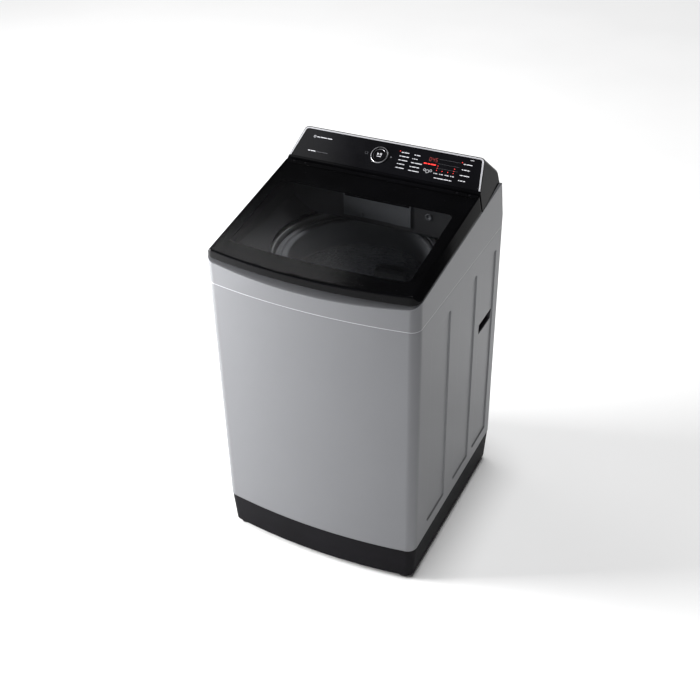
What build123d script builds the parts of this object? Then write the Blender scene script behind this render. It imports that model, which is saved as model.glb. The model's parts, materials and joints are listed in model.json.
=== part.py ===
"""Top load washing machine: one STEP file for each separate piece.

Millimetres. The origin is on the floor under the axis of the tub, +X is to the
right, the front faces -Y and +Z is up.
"""
import os
from math import atan2, cos, degrees, radians, sin

from build123d import *

# ---------------------------------------------------------------- overall body
WIDTH = 540.0            # across the side panels
HALF = WIDTH / 2
FRONT_Y = -286.0         # middle of the bowed front
CORNER_Y = FRONT_Y + 24.0  # where the bow meets the sides
BACK_Y = 284.0           # rear face of the cabinet
FRONT_RADIUS = 26.0      # plan radius of the front corners
BACK_RADIUS = 9.0        # plan radius of the rear corners
FOOT_HEIGHT = 13.0       # floor to the underside of the plinth
PLINTH_TOP = FOOT_HEIGHT + 94.0
PLINTH_TAPER = 4.0       # degrees
PLINTH_WALL = 3.5
PLINTH_FLANGE = 34.0     # width of the inward flange that carries the cabinet
CABINET_TOP = 772.0
SHEET = 1.2              # steel sheet
FLANGE_WIDTH = 22.0      # rear returns of the cabinet wrap
SCREW_HEAD = 2.0

# ------------------------------------------------------------------- top cover
COVER_WALL = 3.0
DECK_CORNER_Z = CABINET_TOP + 68.0  # deck height above the front corners
DECK_SLOPE = 0.12        # rise of the deck towards the rear
REAR_LEAN = 0.231        # the rear wall leans forward by this much per unit height
SCOOP_Z = CABINET_TOP + 45.0  # height where the finger scoop starts at the front
SCOOP_SLOPE = 0.636
MOUTH_HALF_X = HALF - 36.0  # mouth of the funnel in the deck
MOUTH_HALF_Y = -CORNER_Y - 22.0
MOUTH_RADIUS = 60.0
MOUTH_BREAK_Z = DECK_CORNER_Z - 4.0  # below this the funnel narrows to a circle
MOUTH_REAR_Y = BACK_Y - 174.0  # rear wall of the funnel
FUNNEL_RADIUS = 212.0
FUNNEL_LIP_Z = CABINET_TOP + 25.0

# ------------------------------------------------------------------------- lid
HINGE_Y = MOUTH_REAR_Y + 20.0  # line where the lid and the console meet
HINGE_Z = DECK_CORNER_Z + 87.0
LID_FRONT_Y = CORNER_Y + 3.4  # a point on the lid's top plane
LID_FRONT_Z = DECK_CORNER_Z + 25.0
LID_GAP = 2.0            # between the lid's lower edge and the deck
LID_TOP_HALF_FRONT = HALF - 15.7
LID_TOP_HALF_REAR = HALF - 12.0
LID_WALL = 3.0
LID_SPARE = 12.0         # the sloping sides are drawn this much too tall, then cut
LID_RIM = 3.0            # black rim outside the window panel
LID_PANE = 3.0           # thickness of the window panel
NOTCH_Y = HINGE_Y - 11.2 # the joint of lid and console, at deck height
LID_REAR_GAP = 1.5       # between the lid and the console
LID_BARREL = 7.0         # radius of the lid's rear edge about its hinge
LID_EDGE_RADIUS = 6.0     # of the lid along its top edges
WINDOW_HALF_X = HALF - 42.0
WINDOW_FRONT_Y = LID_FRONT_Y + 41.6
WINDOW_FRONT_BOW = 11.0
WINDOW_REAR_Y = HINGE_Y - 90.0
WINDOW_RADIUS = 16.0
PIN_RADIUS = 2.5
PIN_CLEARANCE = 0.05
KNUCKLE_X = HALF - 51.0  # middle of each hinge knuckle
KNUCKLE_LENGTH = 24.0
HINGE_POST = 6.0
HINGE_SIDE_GAP = 1.0
HINGE_POST_RADIUS = 6.3
PANE_MARGIN = 6.0        # between the window panel and the hinge posts
BUFFER_RADIUS = 7.0

# --------------------------------------------------------------------- console
CONSOLE_TOP_Y = HINGE_Y + 72.5
CONSOLE_TOP_Z = HINGE_Z + 57.0
CONSOLE_TOP_HALF = HALF - 29.5
CONSOLE_REAR_Y = BACK_Y - 27.2
CONSOLE_REAR_Z = HINGE_Z + 8.0
CONSOLE_FOOT_Y = BACK_Y - 28.0
CONSOLE_CORNER = 12.0
CONSOLE_WALL = 3.0
FASCIA_THICKNESS = 2.5
FASCIA_MARGIN = 1.5      # housing left outside the silver strip
TRIM_WIDTH = 3.6
TRIM_PROUD = 0.6
FASCIA_START = 6.0       # distance of the fascia's lower edge from the hinge line
FASCIA_END = 90.0
BOARD_DEPTH = 9.0        # top of the control board below the fascia's face
BOARD_THICKNESS = 1.6
DIAL_X = -20.8
DIAL_UP = 48.8           # up the fascia from the hinge line
DIAL_RADIUS = 22.0
DIAL_INNER = 17.6
DIAL_HEIGHT = 3.4
DIAL_LIFT = 0.4          # gap between the ring and the fascia
DIAL_SLEEVE = 18.6
DIAL_SLEEVE_INNER = 15.4
DIAL_CLEARANCE = 0.4
KEY_TRAVEL = 1.0

# ---------------------------------------------------------------------- drawer
DRAWER_HALF = 87.0
DRAWER_BOTTOM = DECK_CORNER_Z - 25.0
DRAWER_TOP = DRAWER_BOTTOM + 51.0
DRAWER_DEPTH = 116.0
DRAWER_WALL = 2.0
DRAWER_CLEARANCE = 0.6
DRAWER_LIP = 4.0         # how far the drawer's front overlaps the funnel wall
HOUSING_WALL = 2.5
HOUSING_ROOM = 8.0       # space behind the closed drawer
INLET_X = HALF - 120.0
INLET_Z = DECK_CORNER_Z + 12.0
INLET_THREAD_RADIUS = 13.2
INLET_BORE = 8.0
INLET_END_Y = BACK_Y + 1.0
INLET_NECK = 12.4        # radius of the port where it passes through the wall
INLET_THREAD_START = 4.0 # from the outer wall to the first thread
VALVE_SET = 11.0         # from the outer wall to the valve's flange

# ------------------------------------------------------------ side press marks
ARCH_SPANS = ((-179.0, -64.0), (-2.0, 108.0), (141.0, 245.0))
ARCH_BOTTOM = PLINTH_TOP + 33.0
ARCH_TOP = CABINET_TOP - 50.0
ARCH_RADIUS = 45.0
ARCH_CORNER = 8.0
ARCH_DEPTH = 3.0
CUP_SPAN = (140.0, 241.0)
CUP_BOTTOM = CABINET_TOP - 255.0
CUP_TOP = CUP_BOTTOM + 28.0
CUP_DEPTH = 28.0
CUP_WALL = 2.0
CUP_SLANT = 7.0

# --------------------------------------------------------------- tub and drum
TUB_INNER = 224.0
TUB_WALL = 4.0
TUB_FLOOR_Z = PLINTH_TOP + 129.0
TUB_TOP = CABINET_TOP - 3.0
TUB_RIBS = 12
TUB_RIB_DEPTH = 6.0
TUB_RING_TOP = TUB_TOP + 12.0
TUB_RING_INNER = TUB_INNER - 15.0
BASKET_RADIUS = TUB_INNER - 24.8
BASKET_SHEET = 1.2
BASKET_BOTTOM = TUB_FLOOR_Z + 26.0
BASKET_TOP = CABINET_TOP - 31.0
HOLE_RADIUS = 2.0
HOLE_COLUMNS = 12
HOLE_ROWS = 6
HOLE_START_Z = BASKET_BOTTOM + 78.0
HOLE_END_Z = BASKET_TOP - 101.0
HOLE_PITCH = (HOLE_END_Z - HOLE_START_Z) / (HOLE_ROWS - 1)
BALANCE_RADIUS = BASKET_RADIUS + 5.8
BALANCE_INNER = BASKET_RADIUS - 27.2
BALANCE_TOP = BASKET_TOP + 31.0
BALANCE_BOTTOM = BASKET_TOP - 44.0
BALANCE_GROOVE = BASKET_RADIUS - 13.2
SEAT_GAP = 0.15          # between round pieces that are pressed together
PULSATOR_RADIUS = BASKET_RADIUS - 39.2
PULSATOR_BOTTOM = BASKET_BOTTOM + 14.0
PULSATOR_FINS = 6
PULSATOR_GAP = 6.0       # round the pulsator, in its recess
LINT_WIDTH = 84.0
LINT_HEIGHT = 150.0
LINT_DEPTH = 22.0
LINT_BOTTOM = BASKET_TOP - 271.0

# -------------------------------------------------------------------- the drive
WASH_SHAFT = 8.0
SPIN_SHAFT = 16.0
SPIN_BORE = 10.5
SHAFT_CLEARANCE = 0.05
BEARING_RADIUS = 28.0
BEARING_HEIGHT = 14.0
GEARCASE_RADIUS = 60.0
GEARCASE_BOTTOM = TUB_FLOOR_Z - 64.0
BRACKET_SHEET = 4.0
BRACKET_RADIUS = 140.0
STATOR_RADIUS = 92.0
STATOR_BORE = 34.0
STATOR_BOTTOM = GEARCASE_BOTTOM - 40.0
STATOR_TOP = STATOR_BOTTOM + 26.0
STATOR_TEETH = 24
MAGNET_GAP = 1.5
MAGNET_THICKNESS = 8.0
ROTOR_WALL = 3.0
ROTOR_BOTTOM = STATOR_BOTTOM - 14.0
ROTOR_TOP = ROTOR_BOTTOM + 44.0
MAGNETS = 24

# ------------------------------------------------------------------ suspension
ROD_X = HALF - 48.0
ROD_Y = BACK_Y - 66.0
ROD_RADIUS = 4.0
ROD_BALL = 9.0
SEAT_Z = CABINET_TOP - 14.0  # top face of the corner brackets
SEAT_SHEET = 3.0
SPRING_BOTTOM = TUB_FLOOR_Z + 62.0
SPRING_TOP = SPRING_BOTTOM + 60.0
SPRING_RADIUS = 17.0
SPRING_WIRE = 3.5
CAP_RADIUS = 21.0
LUG_HEIGHT = 26.0
LUG_RADIUS = 18.0
LUG_BORE = 6.0

# --------------------------------------------------------------------- the pump
PUMP_X = 130.0
PUMP_Y = 115.0
PUMP_Z = PLINTH_TOP - 41.0
PUMP_RADIUS = 30.0
PUMP_WALL = 3.0
PUMP_WIDTH = 38.0
IMPELLER_RADIUS = 22.0
PORT_RADIUS = 18.0
PORT_BORE = 14.5
PORT_TOP = PUMP_Z + 38.0
SPIGOT_BOTTOM = TUB_FLOOR_Z - 24.0
BELLOWS_RADIUS = 21.0
OUTLET_RADIUS = 12.0
OUTLET_BORE = 8.0
OUTLET_SPOUT = 10.5      # outside radius of the hose spout
OUTLET_SPOUT_LENGTH = 24.0
OUTLET_ACCESS = 25.0     # radius of the hole in the plinth round the spout
OUTLET_END_Y = BACK_Y + 1.0
TRAY_Z = PUMP_Z - 36.0
TRAY_SHEET = 4.0

# ------------------------------------------------------------------------- feet
FOOT_X = HALF - 34.0
FOOT_FRONT_Y = CORNER_Y + 22.0
FOOT_REAR_Y = BACK_Y - 44.0
FOOT_RADIUS = 14.0
FOOT_STEM = 5.0
FOOT_STEM_TOP = PLINTH_TOP - 45.0
FOOT_BOSS = 11.0
FOOT_PAD = 9.0

# -------------------------------------------------------------- sensor and cord
SENSOR_X = -120.0
SENSOR_Y = BACK_Y - 38.0
SENSOR_Z = CABINET_TOP - 82.0
SENSOR_RADIUS = 25.0
SENSOR_HEIGHT = 24.0
TUBE_RADIUS = 4.0
TUBE_BORE = 2.5
TUBE_BOTTOM = TUB_FLOOR_Z + 84.0
GLAND_X = HALF - 100.0
GLAND_Z = CABINET_TOP - 72.0
GLAND_RADIUS = 9.0
GLAND_BORE = 4.0

LID_SLOPE = (HINGE_Z - LID_FRONT_Z) / (HINGE_Y - LID_FRONT_Y)
CONSOLE_ANGLE = degrees(atan2(CONSOLE_TOP_Z - HINGE_Z, CONSOLE_TOP_Y - HINGE_Y))
TALL = 2000.0            # taller than the machine, for cutting blocks


def block(x0, x1, y0, y1, z0, z1):
    """A box between two corners."""
    return Pos((x0 + x1) / 2, (y0 + y1) / 2, (z0 + z1) / 2) * Box(x1 - x0, y1 - y0, z1 - z0)


def disc(radius, z0, z1, x=0.0, y=0.0):
    """An upright cylinder."""
    return Pos(x, y, (z0 + z1) / 2) * Cylinder(radius, z1 - z0)


def ring(outer, inner, z0, z1, x=0.0, y=0.0):
    """An upright tube."""
    return disc(outer, z0, z1, x, y) - disc(inner, z0 - 1, z1 + 1, x, y)


def lathe(points):
    """A solid turned about the Z axis from (radius, height) points."""
    outline = Polyline([(radius, 0, height) for radius, height in points], close=True)
    return revolve(make_face(outline), Axis.Z, 360)


def cross_bar(radius, x0, x1, y, z):
    """A cylinder along X."""
    return Pos((x0 + x1) / 2, y, z) * Rot(0, 90, 0) * Cylinder(radius, x1 - x0)


def deep_bar(radius, y0, y1, x, z):
    """A cylinder along Y."""
    return Pos(x, (y0 + y1) / 2, z) * Rot(90, 0, 0) * Cylinder(radius, y1 - y0)


def below(part, y, z, slope):
    """Keep what lies under the plane through (y, z) that rises by slope along Y."""
    normal = Vector(0, -slope, 1).normalized()
    return split(part, bisect_by=Plane(origin=(0, y, z), z_dir=normal), keep=Keep.BOTTOM)


def above(part, y, z, slope):
    """Keep what lies over the plane through (y, z) that rises by slope along Y."""
    normal = Vector(0, -slope, 1).normalized()
    return split(part, bisect_by=Plane(origin=(0, y, z), z_dir=normal), keep=Keep.TOP)


def in_front(part, y, z, lean):
    """Keep what lies in front of the wall through (y, z) that leans by lean per height."""
    normal = Vector(0, 1, lean).normalized()
    return split(part, bisect_by=Plane(origin=(0, y, z), z_dir=normal), keep=Keep.BOTTOM)


def mirrored(part):
    """The piece and its mirror image on the other side of the machine."""
    return [part, mirror(part, Plane.YZ)]


def together(parts):
    """Several solids as one group."""
    return Compound(children=[piece for part in parts for piece in part.solids()])


def save(name, part):
    """Write one piece."""
    export_step(part, f"parts/{name}.step")


def plan_face(inset, z):
    """The machine's outline from above: flat back and sides, bowed front."""
    half = HALF - inset
    back = BACK_Y - inset
    corner = CORNER_Y + inset
    sides = Polyline((-half, corner), (-half, back), (half, back), (half, corner))
    front = ThreePointArc((half, corner), (0, FRONT_Y + inset), (-half, corner))
    face = make_face([sides, front])
    corners = face.vertices().group_by(Axis.Y)
    face = fillet(corners[0], max(FRONT_RADIUS - inset, 1.0))
    face = fillet(face.vertices().group_by(Axis.Y)[-1], max(BACK_RADIUS - inset, 1.0))
    return Pos(0, 0, z) * face


def plan_block(inset, z0, z1):
    """The outline, extruded."""
    return extrude(plan_face(inset, z0), z1 - z0)


def deck_height(y):
    """Height of the deck's top face."""
    return DECK_CORNER_Z + DECK_SLOPE * (y - CORNER_Y)


def lid_height(y):
    """Height of the lid's top face."""
    return LID_FRONT_Z + LID_SLOPE * (y - LID_FRONT_Y)


# ---------------------------------------------------------------- the base
def plinth_block(inset):
    """The tapered outline of the plinth."""
    top = plan_face(inset + 1.0, PLINTH_TOP)
    return extrude(top, PLINTH_TOP - FOOT_HEIGHT, dir=(0, 0, -1), taper=PLINTH_TAPER)


def base_frame():
    """Plinth ring with its flange, foot bosses and pump tray."""
    body = plinth_block(0) - plinth_block(PLINTH_WALL)
    flange = plan_block(1.5, PLINTH_TOP - PLINTH_WALL, PLINTH_TOP)
    body += flange - plan_block(PLINTH_FLANGE, PLINTH_TOP - 10, PLINTH_TOP + 1)
    inside = plinth_block(PLINTH_WALL / 2)
    for x in (-FOOT_X, FOOT_X):
        for y in (FOOT_FRONT_Y, FOOT_REAR_Y):
            wide = block(x - 26, x + 26, y - 26, y + 26, FOOT_HEIGHT, FOOT_HEIGHT + 6)
            to_side = block(min(x, 0), max(x, 0), y - 3, y + 3, FOOT_HEIGHT, PLINTH_TOP - 1)
            reach = 30 if y > 0 else -30
            to_end = block(x - 3, x + 3, min(y, y + 2 * reach), max(y, y + 2 * reach),
                           FOOT_HEIGHT, PLINTH_TOP - 1)
            outward = block(min(x, x * 1.3), max(x, x * 1.3), y - 26, y + 26,
                            FOOT_HEIGHT, FOOT_HEIGHT + 6)
            keep_out = block(-FOOT_X + 40, FOOT_X - 40, -400, 400, 0, 400)
            corner = (wide + outward + (to_side - keep_out) + to_end) & inside
            body += corner + disc(FOOT_BOSS, FOOT_HEIGHT, FOOT_STEM_TOP + 6, x, y)
    tray = block(PUMP_X - 45, HALF, PUMP_Y - 50, BACK_Y, TRAY_Z - TRAY_SHEET, TRAY_Z)
    body += tray & inside
    for x in (-FOOT_X, FOOT_X):
        for y in (FOOT_FRONT_Y, FOOT_REAR_Y):
            body -= disc(FOOT_STEM + 0.3, 0, FOOT_STEM_TOP + 2, x, y)
    return body - deep_bar(OUTLET_ACCESS, BACK_Y - 20, BACK_Y + 10, PUMP_X, PUMP_Z)


def foot(x, y):
    """A foot with its stem."""
    pad = lathe([(0, 0), (FOOT_RADIUS - 1.5, 0), (FOOT_RADIUS, 1.5),
                 (FOOT_RADIUS, FOOT_PAD - 1), (FOOT_RADIUS - 4, FOOT_PAD), (0, FOOT_PAD)])
    nut = disc(FOOT_STEM + 4.0, FOOT_PAD, FOOT_HEIGHT)
    stem = disc(FOOT_STEM, FOOT_HEIGHT, FOOT_STEM_TOP)
    return Pos(x, y, 0) * (pad + nut + stem)


# ------------------------------------------------------------- the cabinet
def arch_face(grow):
    """Outline of one pressed arch, in the plane of the side panel."""
    faces = []
    for start, end in ARCH_SPANS:
        line = Polyline((start - grow, ARCH_BOTTOM - grow), (end + grow, ARCH_BOTTOM - grow),
                        (end + grow, ARCH_TOP + grow), (start - grow, ARCH_TOP + grow), close=True)
        face = make_face(line)
        tall = face.vertices().sort_by_distance((start, ARCH_TOP))[0]
        face = fillet(tall, ARCH_RADIUS + grow)
        others = [v for v in face.vertices() if v.Y < ARCH_BOTTOM + 1 or v.X > end + grow - 1]
        faces.append(fillet(others, ARCH_CORNER + grow))
    return faces


def pressed(x, grow):
    """The arches as shallow sloped blocks that sink in from the right side."""
    plane = Plane(origin=(x, 0, 0), x_dir=(0, 1, 0), z_dir=(1, 0, 0))
    return [extrude(plane * face, ARCH_DEPTH, dir=(-1, 0, 0), taper=45) for face in arch_face(grow)]


def cup_prism(grow, x0, x1):
    """The slanted slot of a hand hold, as a block along X."""
    plane = Plane(origin=(x0, 0, 0), x_dir=(0, 1, 0), z_dir=(1, 0, 0))
    start, end = CUP_SPAN
    line = Polyline((start - grow, CUP_BOTTOM - grow), (end - CUP_SLANT + grow, CUP_BOTTOM - grow),
                    (end + grow, CUP_TOP + grow), (start + CUP_SLANT - grow, CUP_TOP + grow),
                    close=True)
    face = make_face(line)
    return extrude(plane * fillet(face.vertices(), 4.0 + grow), x1 - x0)


def cabinet_wrap():
    """Front and side panels in one bent sheet, with rear returns."""
    body = plan_block(0, PLINTH_TOP, CABINET_TOP)
    body -= plan_block(SHEET, PLINTH_TOP - 1, CABINET_TOP + 1)
    opening = HALF - FLANGE_WIDTH
    body -= block(-opening, opening, BACK_Y - 20, BACK_Y + 20, 0, TALL)
    for side in (1, -1):
        trays = pressed(HALF - SHEET + 0.2, SHEET)
        cuts = pressed(HALF, 0)
        slot = cup_prism(0, HALF - 40, HALF + 10)
        if side < 0:
            trays = [mirror(tray, Plane.YZ) for tray in trays]
            cuts = [mirror(cut, Plane.YZ) for cut in cuts]
            slot = mirror(slot, Plane.YZ)
        for tray, cut in zip(trays, cuts):
            body = body + tray - cut
        body -= slot
    return body


def back_panel():
    """Flat steel panel screwed inside the rear returns."""
    rear = BACK_Y - SHEET
    edge = HALF - BACK_RADIUS
    panel = block(-edge, edge, rear - SHEET, rear, PLINTH_TOP, CABINET_TOP)
    pitch = (CABINET_TOP - PLINTH_TOP - 245) / 3
    for z in [PLINTH_TOP + 113 + pitch * index for index in range(4)]:
        panel += block(-190, 190, rear - SHEET - 3, rear - SHEET, z - 12, z + 12)
        panel -= block(-188, 188, rear - SHEET - 1.8, rear + 1, z - 10, z + 10)
    return panel - deep_bar(GLAND_RADIUS, rear - 10, rear + 10, GLAND_X, GLAND_Z)


def screw(x, y, z):
    """A pan head screw that enters towards the front."""
    head = deep_bar(5.0, y, y + SCREW_HEAD, x, z)
    return head - block(x - 3.2, x + 3.2, y + 1, y + 9, z - 0.5, z + 0.5)


def rear_screws():
    """Screws that hold the back panel to the returns."""
    across = HALF - FLANGE_WIDTH / 2
    pitch = (CABINET_TOP - PLINTH_TOP - 95) / 3
    heights = [PLINTH_TOP + 43 + pitch * index for index in range(4)]
    return together([screw(x, BACK_Y, z) for x in (-across, across) for z in heights])


def handle_cups():
    """The moulded cups behind the two hand hold slots."""
    outer = HALF - ARCH_DEPTH - SHEET
    cup = cup_prism(CUP_WALL, outer - CUP_DEPTH, outer) - cup_prism(0, outer - CUP_DEPTH + CUP_WALL, HALF)
    rim = cup_prism(CUP_WALL + 6, outer - 2, outer) - cup_prism(0, outer - 10, HALF)
    return together(mirrored(cup + rim))


# ----------------------------------------------------------- the top cover
def cover_block(inset, z0):
    """The outside of the top cover: sloping top, leaning rear and finger scoop."""
    body = plan_block(inset, z0, CABINET_TOP + 250)
    body = below(body, CORNER_Y, DECK_CORNER_Z - inset, DECK_SLOPE)
    body = in_front(body, BACK_Y - inset, CABINET_TOP, REAR_LEAN)
    return below(body, FRONT_Y + inset, SCOOP_Z - inset * 0.5, SCOOP_SLOPE)


def funnel_space(grow):
    """The space of the mouth and funnel, down to a circle over the drum."""
    half_x = MOUTH_HALF_X + grow
    half_y = MOUTH_HALF_Y + grow
    mouth = RectangleRounded(2 * half_x, 2 * half_y, MOUTH_RADIUS + grow)
    top = Pos(0, 0, MOUTH_BREAK_Z) * mouth
    low = Pos(0, 0, FUNNEL_LIP_Z) * Circle(FUNNEL_RADIUS + grow)
    space = loft([low.face(), top.face()]) + extrude(top, 100)
    space += disc(FUNNEL_RADIUS + grow, FUNNEL_LIP_Z - 30, FUNNEL_LIP_Z)
    return space & block(-400, 400, -400, MOUTH_REAR_Y + grow, 0, TALL)


def top_cover():
    """Skirt, deck and funnel in one moulding."""
    body = cover_block(0, CABINET_TOP)
    hollow = cover_block(COVER_WALL, CABINET_TOP - 1)
    wall = funnel_space(COVER_WALL) & block(-400, 400, -400, 400, FUNNEL_LIP_Z, TALL)
    body = body - (hollow - wall) - funnel_space(0)
    grow = DRAWER_CLEARANCE
    body -= block(-DRAWER_HALF - grow, DRAWER_HALF + grow, MOUTH_REAR_Y - 5, MOUTH_REAR_Y + 8,
                  DRAWER_BOTTOM - grow, DRAWER_TOP + grow)
    body -= deep_bar(INLET_THREAD_RADIUS + 0.3, BACK_Y - 44, BACK_Y + 16, INLET_X, INLET_Z)
    return body


def lid_buffers():
    """Rubber pads on the deck, under the lid's front corners."""
    pad_x = HALF - 18
    pad_y = CORNER_Y + 24
    pad = disc(BUFFER_RADIUS, deck_height(pad_y) - 6, deck_height(pad_y) + 20, pad_x, pad_y)
    pad = below(pad, CORNER_Y, DECK_CORNER_Z + LID_GAP - 0.3, DECK_SLOPE)
    pad = above(pad, CORNER_Y, DECK_CORNER_Z, DECK_SLOPE)
    return together(mirrored(pad))


# ---------------------------------------------------------------- the hinge
def rear_line():
    """Unit vector down the joint of lid and console, and its forward normal."""
    along = Vector(0, HINGE_Y - NOTCH_Y, HINGE_Z - deck_height(NOTCH_Y)).normalized()
    return along, Vector(0, -along.Z, along.Y)


def hinge_axis():
    """Centre of the lid's rounded rear edge, one barrel radius from both faces."""
    along, forward = rear_line()
    top_normal = Vector(0, -LID_SLOPE, 1).normalized()
    corner = Vector(0, HINGE_Y, HINGE_Z)
    # along the bisector of the two faces
    inward = forward - top_normal
    scale = LID_BARREL / inward.dot(forward)
    return corner + inward * scale


def lid_section(y, side):
    """Cross section between the lid's sloping sides, taller than the lid."""
    share = (y - LID_FRONT_Y) / (HINGE_Y - LID_FRONT_Y)
    upper = LID_TOP_HALF_FRONT + share * (LID_TOP_HALF_REAR - LID_TOP_HALF_FRONT) - side
    high = lid_height(y)
    low = deck_height(y) + LID_GAP
    slope = (HALF - side - upper) / (high - low)
    top = upper - slope * LID_SPARE
    bottom = HALF - side + slope * LID_SPARE
    high += LID_SPARE
    low -= LID_SPARE
    line = Polyline((-bottom, y, low), (bottom, y, low), (top, y, high), (-top, y, high), close=True)
    return make_face(line)


def lid_block(side, top, bottom, rear):
    """The outside of the lid, set in by the given amounts."""
    ends = (FRONT_Y - 10, HINGE_Y + 20)
    body = loft([lid_section(y, side) for y in ends], ruled=True)
    body &= plan_block(side + 1.0, CABINET_TOP, TALL)
    body = below(body, LID_FRONT_Y, LID_FRONT_Z - top, LID_SLOPE)
    body = above(body, CORNER_Y, DECK_CORNER_Z + LID_GAP - bottom, DECK_SLOPE)
    return in_front(body, HINGE_Y - rear, HINGE_Z, -rear_line()[0].Y / rear_line()[0].Z)


def window_hole():
    """The see-through opening in the lid frame."""
    front = WINDOW_FRONT_Y
    half = WINDOW_HALF_X
    sides = Polyline((-half, front), (-half, WINDOW_REAR_Y), (half, WINDOW_REAR_Y), (half, front))
    bow = ThreePointArc((half, front), (0, front - WINDOW_FRONT_BOW), (-half, front))
    face = make_face([sides, bow])
    face = fillet(face.vertices(), WINDOW_RADIUS)
    return extrude(Pos(0, 0, DECK_CORNER_Z) * face, 100)


def rounded_lid():
    """The outside of the lid, rounded along its top edges and round its hinge line."""
    body = lid_block(0, 0, 0, 0)
    up = Vector(0, -LID_SLOPE, 1).normalized()
    top = body.faces().sort_by(lambda face: face.normal_at().dot(up) * face.area)[-1]
    border = top.edges().filter_by(lambda edge: edge.center().Y < HINGE_Y - LID_BARREL)
    body = fillet(border, LID_EDGE_RADIUS)
    rear_edge = body.edges().filter_by(Axis.X).sort_by_distance((0, HINGE_Y, HINGE_Z))[0]
    return fillet(rear_edge, LID_BARREL)


def lid_pane():
    """The flat clear panel that covers the lid's whole top."""
    pane = lid_block(LID_RIM, 0, 0, LID_BARREL + HINGE_POST_RADIUS + PANE_MARGIN)
    pane = above(pane, HINGE_Y, HINGE_Z - LID_PANE, LID_SLOPE)
    return pane & rounded_lid()


def lid_frame():
    """Hollow lid moulding with window opening, hinge knuckles and post notches."""
    body = rounded_lid()
    axis = hinge_axis()
    body -= lid_block(LID_WALL, LID_WALL + LID_PANE, 20, LID_WALL)
    body -= lid_pane()
    body -= window_hole()
    for x in (-KNUCKLE_X, KNUCKLE_X):
        half = KNUCKLE_LENGTH / 2
        body += cross_bar(LID_BARREL - 0.2, x - half, x + half, axis.Y, axis.Z)
        for edge in (-1, 1):
            start = x + edge * half
            stop = start + edge * (HINGE_POST + 2 * HINGE_SIDE_GAP)
            low, high = min(start, stop), max(start, stop)
            body -= cross_bar(LID_BARREL + 1.5, low, high, axis.Y, axis.Z)
            body -= block(low, high, axis.Y - LID_BARREL - 1.5, axis.Y + 30, DECK_CORNER_Z + 10, axis.Z)
        body -= cross_bar(PIN_RADIUS + PIN_CLEARANCE, x - 40, x + 40, axis.Y, axis.Z)
    return body


def hinge_brackets():
    """Posts on the deck that hold the lid's pins."""
    axis = hinge_axis()
    posts = []
    for x in (-KNUCKLE_X, KNUCKLE_X):
        plate = block(x - 24, x + 24, axis.Y - 24, axis.Y - 2, CABINET_TOP, TALL)
        plate = below(plate, CORNER_Y, DECK_CORNER_Z + 2, DECK_SLOPE)
        plate = above(plate, CORNER_Y, DECK_CORNER_Z, DECK_SLOPE)
        post = plate
        for edge in (-1, 1):
            start = x + edge * (KNUCKLE_LENGTH / 2 + HINGE_SIDE_GAP)
            stop = start + edge * HINGE_POST
            low, high = min(start, stop), max(start, stop)
            upright = block(low, high, axis.Y - HINGE_POST_RADIUS, axis.Y - 2, CABINET_TOP, axis.Z)
            upright = above(upright, CORNER_Y, DECK_CORNER_Z, DECK_SLOPE)
            post += upright + cross_bar(HINGE_POST_RADIUS, low, high, axis.Y, axis.Z)
        posts.append(post - cross_bar(PIN_RADIUS, x - 40, x + 40, axis.Y, axis.Z))
    return together(posts)


def hinge_pins():
    """Steel pins pressed into the posts."""
    axis = hinge_axis()
    reach = KNUCKLE_LENGTH / 2 + HINGE_SIDE_GAP + HINGE_POST
    return together([cross_bar(PIN_RADIUS, x - reach, x + reach, axis.Y, axis.Z)
                     for x in (-KNUCKLE_X, KNUCKLE_X)])


# -------------------------------------------------------------- the console
def console_plane():
    """Plane of the fascia: X across, Y up the slope, Z out of the face."""
    tilt = radians(CONSOLE_ANGLE)
    return Plane(origin=(0, HINGE_Y, HINGE_Z), x_dir=(1, 0, 0), z_dir=(0, -sin(tilt), cos(tilt)))


def console_block(inset):
    """The outside of the console housing."""
    front_low = NOTCH_Y + LID_REAR_GAP
    foot_z = deck_height(CONSOLE_FOOT_Y)
    line = Polyline((0, front_low, deck_height(NOTCH_Y)), (0, HINGE_Y + LID_REAR_GAP, HINGE_Z),
                    (0, CONSOLE_TOP_Y, CONSOLE_TOP_Z), (0, CONSOLE_REAR_Y, CONSOLE_REAR_Z),
                    (0, BACK_Y - REAR_LEAN * (foot_z - CABINET_TOP), foot_z),
                    close=True)
    side = offset(make_face(line), -inset) if inset else make_face(line)
    body = extrude(side, HALF - inset, dir=(1, 0, 0), both=True)
    face_corner = Vector(LID_TOP_HALF_REAR, HINGE_Y, HINGE_Z)
    up = Vector(CONSOLE_TOP_HALF, CONSOLE_TOP_Y, CONSOLE_TOP_Z) - face_corner
    down = Vector(HALF, NOTCH_Y, deck_height(NOTCH_Y)) - face_corner
    normal = up.cross(down).normalized()
    if normal.X < 0:
        normal = normal * -1
    for sign in (1, -1):
        facing = Vector(normal.X * sign, normal.Y, normal.Z)
        point = Vector(face_corner.X * sign, HINGE_Y, HINGE_Z) - facing * inset
        body = split(body, bisect_by=Plane(origin=point, z_dir=facing), keep=Keep.BOTTOM)
    return body


def fascia_outline(inset):
    """Four sided outline of the fascia with rounded upper corners."""
    slope = (LID_TOP_HALF_REAR - CONSOLE_TOP_HALF) / (FASCIA_END + 2)
    low = LID_TOP_HALF_REAR - slope * FASCIA_START - FASCIA_MARGIN - inset
    high = LID_TOP_HALF_REAR - slope * FASCIA_END - FASCIA_MARGIN - inset
    end = FASCIA_END - inset
    line = Polyline((-low, FASCIA_START), (low, FASCIA_START), (high, end), (-high, end), close=True)
    face = make_face(line)
    return fillet(face.vertices().group_by(Axis.Y)[-1], CONSOLE_CORNER - inset)


def on_console(sketch_or_part):
    """Place something drawn flat onto the fascia's plane."""
    return console_plane().location * sketch_or_part


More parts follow.
